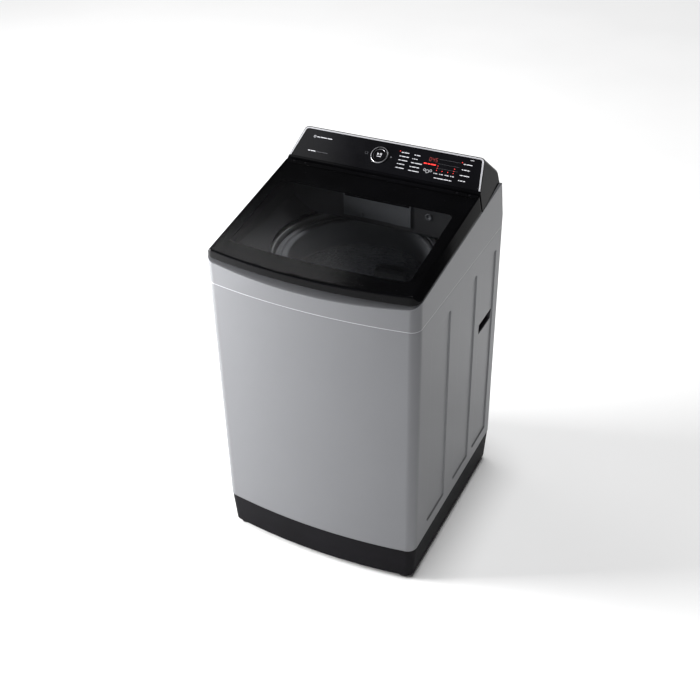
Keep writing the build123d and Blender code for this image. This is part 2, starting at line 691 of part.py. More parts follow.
def on_dial(part):
    """Place something drawn about Z onto the dial's centre."""
    return console_plane().location * Pos(DIAL_X, DIAL_UP, 0) * part


def console_housing():
    """Hollow housing with a shallow pocket for the fascia."""
    body = console_block(0)
    tops = body.edges().filter_by(lambda e: abs(e.center().X) > HALF - 70 and e.center().Y > CONSOLE_TOP_Y
                                  and e.center().Z > CONSOLE_REAR_Z)
    body = fillet(tops, CONSOLE_CORNER)
    hollow = console_block(CONSOLE_WALL + FASCIA_THICKNESS)
    floor_cut = block(-HALF + 12, HALF - 12, NOTCH_Y + 14, CONSOLE_FOOT_Y - 10,
                      DECK_CORNER_Z + 20, DECK_CORNER_Z + 65)
    body = body - hollow - floor_cut
    body = above(body, CORNER_Y, DECK_CORNER_Z, DECK_SLOPE)
    body -= on_console(extrude(fascia_outline(0), -FASCIA_THICKNESS) + extrude(fascia_outline(0), 10))
    opening = Pos(84, 46, -10) * Box(270, 62, 20)
    body -= on_console(opening)
    for x in (-56, 224):
        for up in (24, 74):
            depth = BOARD_DEPTH - FASCIA_THICKNESS
            body += on_console(Pos(x, up, -FASCIA_THICKNESS - depth / 2) * Cylinder(3, depth))
    return body


def console_trim():
    """Silver strip round the left, top and right of the fascia."""
    strip = fascia_outline(0) - fascia_outline(TRIM_WIDTH)
    strip -= Pos(0, FASCIA_START - 5) * Rectangle(2 * (LID_TOP_HALF_REAR - 12), 10.5)
    body = extrude(strip, TRIM_PROUD) + extrude(strip, -FASCIA_THICKNESS)
    return on_console(body)


def control_fascia():
    """Printed panel inside the silver strip."""
    body = extrude(fascia_outline(TRIM_WIDTH), -FASCIA_THICKNESS)
    body -= Pos(DIAL_X, DIAL_UP, 0) * Cylinder(DIAL_SLEEVE + DIAL_CLEARANCE, 20)
    return on_console(body)


def control_board():
    """Circuit board on four bosses, with its display block, buzzer and relays."""
    top = -BOARD_DEPTH
    body = Pos(84, 49, top - BOARD_THICKNESS / 2) * Box(290, 66, BOARD_THICKNESS)
    body += Pos(113, 57, (top - FASCIA_THICKNESS) / 2) * Box(40, 26, BOARD_DEPTH - FASCIA_THICKNESS)
    for x in (0, 40, 80, 120, 160):
        body += Pos(x, 40, top - BOARD_THICKNESS - 7) * Box(24, 18, 14)
    return on_console(body)


def dial_encoder():
    """Ring encoder and key switch on the board."""
    base_top = -BOARD_DEPTH + 2.2
    body = Pos(0, 0, (base_top - BOARD_DEPTH) / 2) * Cylinder(DIAL_SLEEVE, base_top + BOARD_DEPTH)
    switch_top = base_top + 0.8
    body += Pos(0, 0, (base_top + switch_top) / 2) * Cylinder(4, 0.8)
    return on_dial(body)


def dial_ring():
    """Silver ring with the sleeve that it turns on."""
    base = -BOARD_DEPTH + 2.2 + 0.1
    top = DIAL_LIFT + DIAL_HEIGHT
    sleeve = Pos(0, 0, (base + top) / 2) * Cylinder(DIAL_SLEEVE, top - base)
    grip = Pos(0, 0, DIAL_LIFT + DIAL_HEIGHT / 2) * Cylinder(DIAL_RADIUS, DIAL_HEIGHT)
    grip = chamfer(grip.edges().filter_by(GeomType.CIRCLE).sort_by(Axis.Z)[-1], 1.2)
    body = sleeve + grip - Cylinder(DIAL_SLEEVE_INNER, 60)
    dish = Pos(0, 0, top) * Cone(DIAL_SLEEVE_INNER, DIAL_INNER, 1.6, align=(Align.CENTER, Align.CENTER,
                                                                          Align.MAX))
    return on_dial(body - dish)


def start_key():
    """Round key inside the ring; it stands clear of the switch by its travel."""
    bottom = -BOARD_DEPTH + 3.0 + KEY_TRAVEL + 0.1
    top = DIAL_LIFT + DIAL_HEIGHT - 1.4
    body = Pos(0, 0, (bottom + top) / 2) * Cylinder(DIAL_SLEEVE_INNER - DIAL_CLEARANCE, top - bottom)
    return on_dial(body)


# --------------------------------------------------- drawer and water inlet
def drawer_housing():
    """Water box under the deck that the drawer slides into."""
    inner = DRAWER_HALF + DRAWER_CLEARANCE
    rear = MOUTH_REAR_Y + COVER_WALL + DRAWER_DEPTH + HOUSING_ROOM
    front = MOUTH_REAR_Y + COVER_WALL
    outer = block(-inner - HOUSING_WALL, inner + HOUSING_WALL, front, rear,
                  DRAWER_BOTTOM - DRAWER_CLEARANCE - HOUSING_WALL, DECK_CORNER_Z + 55)
    outer = below(outer, CORNER_Y, DECK_CORNER_Z - COVER_WALL, DECK_SLOPE)
    room = block(-inner, inner, front - 1, rear - HOUSING_WALL,
                 DRAWER_BOTTOM - DRAWER_CLEARANCE, DRAWER_TOP + DRAWER_CLEARANCE)
    body = outer - room
    body -= block(-60, 60, rear - 36, rear - HOUSING_WALL - 1, CABINET_TOP, DRAWER_BOTTOM + 1)
    body -= cross_bar(INLET_BORE, inner - 6, inner + 10, rear - 16, INLET_Z)
    return body


def detergent_drawer():
    """Drawer with two compartments; it slides out towards the front."""
    front = MOUTH_REAR_Y - DRAWER_CLEARANCE
    face = block(-DRAWER_HALF - DRAWER_LIP, DRAWER_HALF + DRAWER_LIP, front - 4, front,
                 DRAWER_BOTTOM - DRAWER_LIP, DRAWER_TOP + DRAWER_LIP)
    rear = front + DRAWER_DEPTH
    box = block(-DRAWER_HALF, DRAWER_HALF, front, rear, DRAWER_BOTTOM, DRAWER_TOP - 6)
    split_x = 24.0
    left = block(-DRAWER_HALF + DRAWER_WALL, split_x, front, rear - DRAWER_WALL,
                 DRAWER_BOTTOM + DRAWER_WALL, DRAWER_TOP + 1)
    right = block(split_x + DRAWER_WALL, DRAWER_HALF - DRAWER_WALL, front, rear - DRAWER_WALL,
                  DRAWER_BOTTOM + DRAWER_WALL, DRAWER_TOP + 1)
    pull = block(-40, 40, front - 5, front - 1.5, DRAWER_BOTTOM - DRAWER_LIP - 1, DRAWER_BOTTOM + 10)
    return face + box - left - right - pull


def softener_cap():
    """Siphon cap that drops into the small compartment."""
    front = MOUTH_REAR_Y - DRAWER_CLEARANCE
    centre_x = (24.0 + DRAWER_WALL + DRAWER_HALF - DRAWER_WALL) / 2
    half = (DRAWER_HALF - DRAWER_WALL - 24.0 - DRAWER_WALL) / 2 - 0.3
    floor = DRAWER_BOTTOM + DRAWER_WALL
    plate_z = DRAWER_TOP - 12
    plate = block(centre_x - half, centre_x + half, front + 40, front + DRAWER_DEPTH - DRAWER_WALL - 0.3,
                  plate_z, plate_z + 2)
    stem = disc(7, floor, plate_z + 1, centre_x, front + 76) - disc(5, floor - 1, plate_z - 4,
                                                                    centre_x, front + 76)
    return plate + stem


def inlet_valve():
    """Solenoid water valve with a threaded inlet through the rear wall."""
    wall_y = BACK_Y - REAR_LEAN * (INLET_Z - CABINET_TOP)
    seat = wall_y - VALVE_SET
    port = deep_bar(INLET_NECK, seat - 1, INLET_END_Y, INLET_X, INLET_Z)
    port += deep_bar(INLET_THREAD_RADIUS, wall_y + INLET_THREAD_START, INLET_END_Y, INLET_X, INLET_Z)
    port -= deep_bar(INLET_BORE, wall_y - 4, INLET_END_Y + 1, INLET_X, INLET_Z)
    body = block(INLET_X - 17, INLET_X + 17, seat - 27, seat - 2, INLET_Z - 17, INLET_Z + 17)
    coil = disc(15, INLET_Z - 50, INLET_Z - 17, INLET_X, seat - 14)
    flange = block(INLET_X - 24, INLET_X + 24, seat - 2, seat, INLET_Z - 20, INLET_Z + 20)
    web = block(INLET_X - 22, INLET_X + 22, wall_y - 30, wall_y + 20, INLET_Z + 17, INLET_Z + 20)
    inside = cover_block(COVER_WALL, CABINET_TOP - 1)
    return port + body + coil + flange + (web & inside)


def fill_hose():
    """Short rubber hose from the valve to the water box."""
    rear = MOUTH_REAR_Y + COVER_WALL + DRAWER_DEPTH + HOUSING_ROOM - 16
    start = DRAWER_HALF + DRAWER_CLEARANCE + HOUSING_WALL
    hose = cross_bar(INLET_BORE + 2.5, start, INLET_X - 17, rear, INLET_Z)
    return hose - cross_bar(INLET_BORE, start - 1, INLET_X, rear, INLET_Z)


# ----------------------------------------------------- sensor and cord entry
def level_sensor():
    """Pressure switch on the back panel."""
    body = disc(SENSOR_RADIUS, SENSOR_Z, SENSOR_Z + SENSOR_HEIGHT, SENSOR_X, SENSOR_Y)
    arm = block(SENSOR_X - 10, SENSOR_X + 10, SENSOR_Y, BACK_Y - 2 * SHEET,
                SENSOR_Z + SENSOR_HEIGHT, SENSOR_Z + SENSOR_HEIGHT + 2)
    port = ring(TUBE_RADIUS, TUBE_BORE, SENSOR_Z - 8, SENSOR_Z + 1, SENSOR_X, SENSOR_Y)
    return body + arm + port


def level_tube():
    """Air tube from the tub's pressure chamber to the switch."""
    return ring(TUBE_RADIUS, TUBE_BORE, TUBE_BOTTOM, SENSOR_Z - 8, SENSOR_X, SENSOR_Y)


def cord_grommet():
    """Bushing in the back panel where a mains cord would leave."""
    rear = BACK_Y - SHEET
    body = deep_bar(GLAND_RADIUS, rear - SHEET, rear, GLAND_X, GLAND_Z)
    body += deep_bar(GLAND_RADIUS + 3, rear, rear + 2, GLAND_X, GLAND_Z)
    body += deep_bar(GLAND_RADIUS + 3, rear - SHEET - 3, rear - SHEET, GLAND_X, GLAND_Z)
    return body - deep_bar(GLAND_BORE, rear - 20, rear + 20, GLAND_X, GLAND_Z)


# ---------------------------------------------------------- the suspension
def corner_places():
    """The four rod positions."""
    return [(x, y) for x in (-ROD_X, ROD_X) for y in (-ROD_Y, ROD_Y)]


def suspension_brackets():
    """Corner brackets inside the cabinet's upper corners."""
    fill = plan_block(SHEET, SEAT_Z - 30, CABINET_TOP)
    hollow = plan_block(SHEET + SEAT_SHEET, SEAT_Z - 31, SEAT_Z - SEAT_SHEET)
    brackets = []
    for x, y in corner_places():
        reach = 26
        low_y = y - reach if y > 0 else -400
        high_y = 400 if y > 0 else y + reach
        zone = block(x - reach if x > 0 else -400, 400 if x > 0 else x + reach, low_y, high_y,
                     SEAT_Z - 30, SEAT_Z)
        zone &= block(-400, 400, -400, BACK_Y - 2 * SHEET - 0.2, 0, TALL)
        corner = (fill & zone) - hollow - disc(ROD_RADIUS + 1.5, 0, TALL, x, y)
        brackets.append(corner)
    return together(brackets)


def suspension_rods():
    """Steel rods that hang from ball seats on the brackets."""
    rods = []
    for x, y in corner_places():
        rod = disc(ROD_RADIUS, SPRING_BOTTOM - 8, SEAT_Z + 6, x, y)
        upright = (Align.CENTER, Align.CENTER, Align.MIN)
        dome = Pos(x, y, SEAT_Z) * Sphere(ROD_BALL, arc_size1=0, arc_size2=90, align=upright)
        rods.append(rod + dome)
    return together(rods)


def suspension_cups():
    """Cups at the foot of each rod that carry the springs."""
    cups = []
    for x, y in corner_places():
        cup = ring(CAP_RADIUS, ROD_RADIUS, SPRING_BOTTOM - 6, SPRING_BOTTOM + 12, x, y)
        cup -= ring(CAP_RADIUS - 2, ROD_RADIUS, SPRING_BOTTOM, SPRING_BOTTOM + 13, x, y)
        cups.append(cup)
    return together(cups)


def suspension_springs():
    """Compression springs under the tub's lugs, as their closed outer shape."""
    inner = SPRING_RADIUS - SPRING_WIRE
    return together([ring(SPRING_RADIUS, inner, SPRING_BOTTOM, SPRING_TOP, x, y)
                     for x, y in corner_places()])


# ----------------------------------------------------------------- the tub
def outer_tub():
    """Plastic tub with ribs, four spring lugs and an air chamber."""
    outer = TUB_INNER + TUB_WALL
    body = disc(outer, TUB_FLOOR_Z, TUB_TOP)
    body += ring(outer + 8, outer - 1, TUB_TOP - 10, TUB_TOP)
    for index in range(TUB_RIBS):
        angle = (index + 0.5) * 360 / TUB_RIBS
        rib = block(outer - 2, outer + TUB_RIB_DEPTH, -2, 2, TUB_FLOOR_Z, TUB_TOP - 5)
        body += Rot(0, 0, angle) * rib
    for x, y in corner_places():
        span = (x ** 2 + y ** 2) ** 0.5
        turn = degrees(atan2(y, x))
        arm = block(outer - 3, span, -9, 9, SPRING_TOP, SPRING_TOP + LUG_HEIGHT)
        body += Rot(0, 0, turn) * arm
        body += disc(LUG_RADIUS, SPRING_TOP, SPRING_TOP + LUG_HEIGHT, x, y)
        body -= disc(LUG_BORE, SPRING_TOP - 1, SPRING_TOP + LUG_HEIGHT + 1, x, y)
    reach = (SENSOR_X ** 2 + SENSOR_Y ** 2) ** 0.5
    chamber = block(outer - 3, reach + 7, -9, 9, TUBE_BOTTOM - 40, TUBE_BOTTOM)
    body += Rot(0, 0, degrees(atan2(SENSOR_Y, SENSOR_X))) * chamber
    body -= disc(TUB_INNER, TUB_FLOOR_Z + TUB_WALL, TUB_TOP + 1)
    body -= disc(SPIN_SHAFT + 10, TUB_FLOOR_Z - 1, TUB_FLOOR_Z + TUB_WALL + 1)
    body -= disc(PORT_BORE, TUB_FLOOR_Z - 1, TUB_FLOOR_Z + TUB_WALL + 1, PUMP_X, PUMP_Y)
    return body


def tub_ring():
    """Cover ring clipped on the tub's upper edge."""
    outer = TUB_INNER + TUB_WALL + 8
    return lathe([(TUB_RING_INNER, TUB_TOP + 3), (TUB_RING_INNER, TUB_RING_TOP),
                  (TUB_RING_INNER + 6, TUB_RING_TOP), (outer, TUB_TOP + 3), (outer, TUB_TOP),
                  (TUB_INNER - 2, TUB_TOP)])


def drain_spigot():
    """Rubber spigot under the tub's drain."""
    flange = disc(PORT_RADIUS + 8, TUB_FLOOR_Z - 4, TUB_FLOOR_Z, PUMP_X, PUMP_Y)
    pipe = disc(PORT_RADIUS, SPIGOT_BOTTOM, TUB_FLOOR_Z, PUMP_X, PUMP_Y)
    return flange + pipe - disc(PORT_BORE, SPIGOT_BOTTOM - 1, TUB_FLOOR_Z + 1, PUMP_X, PUMP_Y)


def drain_bellows():
    """Bellows hose between the tub's spigot and the pump."""
    return ring(BELLOWS_RADIUS, PORT_BORE, PORT_TOP, SPIGOT_BOTTOM, PUMP_X, PUMP_Y)


# --------------------------------------------------------------- the drive
def drive_bracket():
    """Steel plate under the tub that carries the gearcase."""
    top = TUB_FLOOR_Z
    body = ring(BRACKET_RADIUS, SPIN_SHAFT + 10, top - BRACKET_SHEET, top)
    body += ring(BRACKET_RADIUS, BRACKET_RADIUS - BRACKET_SHEET, top - 14, top)
    keep = disc(PORT_RADIUS + 9, top - 20, top + 1, PUMP_X, PUMP_Y)
    return body - keep


def gearcase():
    """Clutch and gear housing that holds the two bearings."""
    top = TUB_FLOOR_Z - BRACKET_SHEET
    body = disc(GEARCASE_RADIUS, GEARCASE_BOTTOM, top)
    body += disc(GEARCASE_RADIUS + 16, top - 5, top)
    body += disc(STATOR_BORE, STATOR_BOTTOM - 2, GEARCASE_BOTTOM)
    body -= disc(BEARING_RADIUS, top - BEARING_HEIGHT, top + 1)
    body -= disc(BEARING_RADIUS, GEARCASE_BOTTOM + 6, GEARCASE_BOTTOM + 6 + BEARING_HEIGHT)
    body -= disc(SPIN_SHAFT + 3, STATOR_BOTTOM - 10, top + 1)
    return body


def main_bearings():
    """Ball bearings that carry the spin shaft."""
    top = TUB_FLOOR_Z - BRACKET_SHEET
    bore = SPIN_SHAFT + SHAFT_CLEARANCE
    low = GEARCASE_BOTTOM + 6
    return together([ring(BEARING_RADIUS, bore, top - BEARING_HEIGHT, top),
                     ring(BEARING_RADIUS, bore, low, low + BEARING_HEIGHT)])


def stator_core():
    """Laminated core with its teeth, on the gearcase's neck."""
    body = ring(STATOR_RADIUS - 30, STATOR_BORE, STATOR_BOTTOM, STATOR_TOP)
    for index in range(STATOR_TEETH):
        tooth = block(STATOR_RADIUS - 32, STATOR_RADIUS - 3, -2.6, 2.6, STATOR_BOTTOM, STATOR_TOP)
        shoe = ring(STATOR_RADIUS, STATOR_RADIUS - 3.5, STATOR_BOTTOM, STATOR_TOP)
        shoe &= block(0, 200, -9, 9, 0, TALL)
        body += Rot(0, 0, index * 360 / STATOR_TEETH) * (tooth + shoe)
    return body


def stator_coils():
    """Copper windings round the teeth."""
    coils = []
    for index in range(STATOR_TEETH):
        coil = block(STATOR_RADIUS - 27, STATOR_RADIUS - 6, -5, 5, STATOR_BOTTOM - 3, STATOR_TOP + 3)
        coil -= block(0, 200, -2.6, 2.6, STATOR_BOTTOM, STATOR_TOP)
        coils.append(Rot(0, 0, index * 360 / STATOR_TEETH) * coil)
    return together(coils)


def clutch_actuator():
    """Small motor that shifts the clutch."""
    top = TUB_FLOOR_Z - BRACKET_SHEET
    inner = GEARCASE_RADIUS + 16
    return block(-inner - 46, -inner, -22, 22, top - 34, top) + block(
        -inner - 2, -GEARCASE_RADIUS, -6, 6, top - 24, top - 16)


# -------------------------------------------------------------- the basket
def basket_shell():
    """Stainless drum with drain holes and a flanged foot."""
    body = ring(BASKET_RADIUS, BASKET_RADIUS - BASKET_SHEET, BASKET_BOTTOM, BASKET_TOP)
    body += ring(BASKET_RADIUS, BASKET_RADIUS - 16, BASKET_BOTTOM - BASKET_SHEET, BASKET_BOTTOM)
    for row in range(HOLE_ROWS):
        for column in range(HOLE_COLUMNS):
            angle = (column + 0.5 * (row % 2)) * 360 / HOLE_COLUMNS
            hole = cross_bar(HOLE_RADIUS, BASKET_RADIUS - 6, BASKET_RADIUS + 3, 0,
                             HOLE_START_Z + row * HOLE_PITCH)
            body -= Rot(0, 0, angle) * hole
    return body


def balance_ring():
    """Fluid filled ring that steadies the drum."""
    inside = BASKET_RADIUS - BASKET_SHEET - SEAT_GAP
    groove = BALANCE_GROOVE
    return lathe([(BALANCE_INNER + 5, BALANCE_BOTTOM), (BALANCE_INNER, BALANCE_BOTTOM + 8),
                  (BALANCE_INNER, BALANCE_TOP - 3), (BALANCE_INNER + 3, BALANCE_TOP),
                  (groove - 4, BALANCE_TOP), (groove - 2, BALANCE_TOP - 5), (groove + 2, BALANCE_TOP - 5),
                  (groove + 4, BALANCE_TOP), (BALANCE_RADIUS - 5, BALANCE_TOP),
                  (BALANCE_RADIUS, BALANCE_TOP - 5), (BALANCE_RADIUS, BASKET_TOP), (inside, BASKET_TOP),
                  (inside, BALANCE_BOTTOM)])


def basket_base():
    """Moulded floor of the drum, with a recess for the pulsator."""
    edge = BASKET_RADIUS - BASKET_SHEET - SEAT_GAP
    recess = PULSATOR_RADIUS + PULSATOR_GAP
    return lathe([(SPIN_SHAFT + 4, BASKET_BOTTOM), (edge, BASKET_BOTTOM), (edge, PULSATOR_BOTTOM + 22),
                  (edge - 8, PULSATOR_BOTTOM + 22), (recess + 6, PULSATOR_BOTTOM + 12),
                  (recess, PULSATOR_BOTTOM + 12), (recess - 4, BASKET_BOTTOM + 5),
                  (SPIN_SHAFT + 4, BASKET_BOTTOM + 5)])


def basket_hub():
    """Cast flange that ties the drum to the spin shaft."""
    low = TUB_FLOOR_Z + TUB_WALL + 4
    top = BASKET_BOTTOM - BASKET_SHEET
    body = ring(34, SPIN_SHAFT, low, top)
    body += ring(118, SPIN_SHAFT, top - 5, top)
    body += ring(SPIN_SHAFT + 4, SPIN_SHAFT, top, BASKET_BOTTOM + 5)
    for index in range(3):
        arm = block(30, BASKET_RADIUS - 4, -16, 16, top - 5, top)
        body += Rot(0, 0, index * 120) * arm
    return body + ring(116, SPIN_SHAFT + 10, top, BASKET_BOTTOM)


def spin_shaft():
    """Hollow shaft that turns the drum."""
    return ring(SPIN_SHAFT, SPIN_BORE, GEARCASE_BOTTOM + 2, BASKET_BOTTOM + 5)


def shaft_bushes():
    """Plain bushes inside the spin shaft."""
    bore = WASH_SHAFT + SHAFT_CLEARANCE
    low = GEARCASE_BOTTOM + 2
    top = BASKET_BOTTOM + 5
    return together([ring(SPIN_BORE, bore, low, low + 14), ring(SPIN_BORE, bore, top - 14, top)])


def lint_filters():
    """Two clip-on lint filters on the drum wall."""
    wall = BASKET_RADIUS - BASKET_SHEET
    frame = block(wall - LINT_DEPTH, wall + 5, -LINT_WIDTH / 2, LINT_WIDTH / 2, LINT_BOTTOM,
                  LINT_BOTTOM + LINT_HEIGHT)
    frame &= disc(wall - 0.2, 0, TALL)
    frame = fillet(frame.edges().filter_by(Axis.Z).sort_by(Axis.X)[:2], 6)
    frame -= block(wall - LINT_DEPTH - 1, wall - LINT_DEPTH + 3, -LINT_WIDTH / 2 + 9, LINT_WIDTH / 2 - 9,
                   LINT_BOTTOM + 12, LINT_BOTTOM + LINT_HEIGHT - 12)
    return together([Rot(0, 0, angle) * frame for angle in (90, 270)])


# ------------------------------------------------------------ the pulsator
def pulsator():
    """Agitating disc with raised fins."""
    low = PULSATOR_BOTTOM
    radius = PULSATOR_RADIUS
    body = lathe([(0, low), (radius, low), (radius, low + 5), (radius - 6, low + 8),
                  (radius - 70, low + 12), (60, low + 22), (34, low + 30), (0, low + 30)])
    body -= lathe([(24, low - 1), (radius - 10, low - 1), (radius - 10, low + 2), (60, low + 8),
                   (24, low + 8)])
    for index in range(PULSATOR_FINS):
        fin = block(30, radius - 12, -7, 7, low + 5, low + 34)
        fin = split(fin, bisect_by=Plane(origin=(30, 0, low + 34), z_dir=(0.16, 0, 1)),
                    keep=Keep.BOTTOM)
        fin = fillet(fin.edges().sort_by(Axis.Z)[-4:], 4)
        body += Rot(0, 0, index * 360 / PULSATOR_FINS) * fin
    body -= disc(WASH_SHAFT, low - 5, low + 18)
    body -= disc(4.2, low, low + 60)
    return body


def pulsator_screw():
    """Screw and washer that hold the pulsator on the wash shaft."""
    low = PULSATOR_BOTTOM
    head = disc(13, low + 30, low + 36)
    head -= extrude(Pos(0, 0, low + 33) * RegularPolygon(5, 6), 10)
    return head + disc(4.2, low + 18, low + 30)


def wash_shaft():
    """Shaft from the rotor to the pulsator."""
    return disc(WASH_SHAFT, ROTOR_BOTTOM - 6, PULSATOR_BOTTOM + 18)


def rotor_cup():
    """Steel rotor of the drive motor."""
    inner = STATOR_RADIUS + MAGNET_GAP + MAGNET_THICKNESS
    body = ring(inner + ROTOR_WALL, inner, ROTOR_BOTTOM, ROTOR_TOP)
    body += ring(inner + ROTOR_WALL, WASH_SHAFT, ROTOR_BOTTOM, ROTOR_BOTTOM + 4)
    for index in range(8):
        body -= disc(14, ROTOR_BOTTOM - 1, ROTOR_BOTTOM + 5, 62 * cos(radians(45 * index)),
                     62 * sin(radians(45 * index)))
    return body + ring(20, WASH_SHAFT, ROTOR_BOTTOM - 6, ROTOR_BOTTOM + 10)


def rotor_magnets():
    """Magnets bonded inside the rotor."""
    outer = STATOR_RADIUS + MAGNET_GAP + MAGNET_THICKNESS
    band = ring(outer, outer - MAGNET_THICKNESS, ROTOR_BOTTOM + 10, ROTOR_TOP - 2)
    step = 360 / MAGNETS
    magnet = band & block(0, 200, -11, 11, 0, TALL)
    return together([Rot(0, 0, index * step) * magnet for index in range(MAGNETS)])


# ---------------------------------------------------------------- the pump
def pump_housing():
    """Drain pump chamber with its inlet and outlet."""
    x0 = PUMP_X - PUMP_WIDTH / 2
    x1 = PUMP_X + PUMP_WIDTH / 2
    body = cross_bar(PUMP_RADIUS, x0, x1, PUMP_Y, PUMP_Z)
    body += disc(PORT_RADIUS, PUMP_Z, PORT_TOP, PUMP_X, PUMP_Y)
    body += deep_bar(OUTLET_RADIUS, PUMP_Y, PUMP_Y + PUMP_RADIUS + 14, PUMP_X, PUMP_Z)
    body += block(x0, x1, PUMP_Y - 20, PUMP_Y + 20, TRAY_Z, PUMP_Z - PUMP_RADIUS + 8)
    body -= cross_bar(PUMP_RADIUS - PUMP_WALL, x0 + PUMP_WALL, x1 - PUMP_WALL, PUMP_Y, PUMP_Z)
    body -= disc(PORT_BORE, PUMP_Z, PORT_TOP + 1, PUMP_X, PUMP_Y)
    body -= deep_bar(OUTLET_BORE, PUMP_Y, PUMP_Y + 90, PUMP_X, PUMP_Z)
    return body - cross_bar(3 + SHAFT_CLEARANCE, x1 - 10, x1 + 5, PUMP_Y, PUMP_Z)


def pump_motor():
    """Synchronous motor of the drain pump."""
    x0 = PUMP_X + PUMP_WIDTH / 2
    body = block(x0, x0 + 46, PUMP_Y - 22, PUMP_Y + 22, TRAY_Z, PUMP_Z + 22)
    body += cross_bar(18, x0 + 46, x0 + 54, PUMP_Y, PUMP_Z)
    return body - cross_bar(3 + SHAFT_CLEARANCE, x0 - 1, x0 + 30, PUMP_Y, PUMP_Z)


def pump_impeller():
    """Four bladed impeller with its shaft."""
    x0 = PUMP_X - PUMP_WIDTH / 2 + PUMP_WALL + 3
    x1 = PUMP_X + PUMP_WIDTH / 2 - PUMP_WALL - 3
    body = cross_bar(8, x0, x1, PUMP_Y, PUMP_Z)
    blade = block(x0, x1, PUMP_Y - 1.5, PUMP_Y + 1.5, PUMP_Z - IMPELLER_RADIUS, PUMP_Z + IMPELLER_RADIUS)
    across = block(x0, x1, PUMP_Y - IMPELLER_RADIUS, PUMP_Y + IMPELLER_RADIUS, PUMP_Z - 1.5, PUMP_Z + 1.5)
    return body + blade + across + cross_bar(3, x1 - 1, PUMP_X + PUMP_WIDTH / 2 + 28, PUMP_Y, PUMP_Z)


def drain_outlet():
    """Outlet pipe with its hose barb, out through the rear of the plinth."""
    start = PUMP_Y + PUMP_RADIUS + 14
    neck = OUTLET_END_Y - OUTLET_SPOUT_LENGTH
    body = deep_bar(OUTLET_RADIUS, start, neck, PUMP_X, PUMP_Z)
    body += deep_bar(OUTLET_SPOUT, neck, OUTLET_END_Y, PUMP_X, PUMP_Z)
    body += block(PUMP_X - 4, PUMP_X + 4, neck - 20, neck - 12, TRAY_Z, PUMP_Z - OUTLET_BORE - 1)
    return body - deep_bar(OUTLET_BORE, start - 1, OUTLET_END_Y + 1, PUMP_X, PUMP_Z)


def main():
    """Build and write every piece."""
    os.makedirs("parts", exist_ok=True)
    save("base_frame", base_frame())
    save("rear_feet", together([foot(x, FOOT_REAR_Y) for x in (-FOOT_X, FOOT_X)]))
    save("left_leveling_foot", foot(-FOOT_X, FOOT_FRONT_Y))
    save("right_leveling_foot", foot(FOOT_X, FOOT_FRONT_Y))
    save("cabinet_wrap", cabinet_wrap())
    save("back_panel", back_panel())
    save("rear_screws", rear_screws())
    save("handle_cups", handle_cups())
    save("top_cover", top_cover())
    save("lid_buffers", lid_buffers())
    save("lid_window", lid_pane())
    save("lid_frame", lid_frame())
    save("hinge_brackets", hinge_brackets())
    save("hinge_pins", hinge_pins())
    save("console_housing", console_housing())
    save("console_trim", console_trim())
    save("control_fascia", control_fascia())
    save("control_board", control_board())
    save("dial_encoder", dial_encoder())
    save("dial_ring", dial_ring())
    save("start_key", start_key())
    save("drawer_housing", drawer_housing())
    save("detergent_drawer", detergent_drawer())
    save("softener_cap", softener_cap())
    save("inlet_valve", inlet_valve())
    save("fill_hose", fill_hose())
    save("level_sensor", level_sensor())
    save("level_tube", level_tube())
    save("cord_grommet", cord_grommet())
    save("suspension_brackets", suspension_brackets())
    save("suspension_rods", suspension_rods())
    save("suspension_cups", suspension_cups())
    save("suspension_springs", suspension_springs())
    save("outer_tub", outer_tub())
    save("tub_ring", tub_ring())
    save("drain_spigot", drain_spigot())
    save("drain_bellows", drain_bellows())
    save("drive_bracket", drive_bracket())
    save("gearcase", gearcase())
    save("main_bearings", main_bearings())
    save("stator_core", stator_core())
    save("stator_coils", stator_coils())
    save("clutch_actuator", clutch_actuator())
    save("basket_shell", basket_shell())
    save("balance_ring", balance_ring())
    save("basket_base", basket_base())
    save("basket_hub", basket_hub())
    save("spin_shaft", spin_shaft())
    save("shaft_bushes", shaft_bushes())
    save("lint_filters", lint_filters())
    save("pulsator", pulsator())
    save("pulsator_screw", pulsator_screw())
    save("wash_shaft", wash_shaft())
    save("rotor_cup", rotor_cup())
    save("rotor_magnets", rotor_magnets())
    save("pump_housing", pump_housing())
    save("pump_motor", pump_motor())
    save("pump_impeller", pump_impeller())
    save("drain_outlet", drain_outlet())


main()
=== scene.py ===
"""Looks of the top load washing machine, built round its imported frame.

Metres, in the frame's own axes: +X to the right, the front faces -Y, +Z up.
Sizes named with _mm are millimetres and are turned to metres where they are used.
"""
import json
import logging
import math
from dataclasses import dataclass
from enum import Enum

import bmesh
import bpy
from mathutils import Matrix, Vector


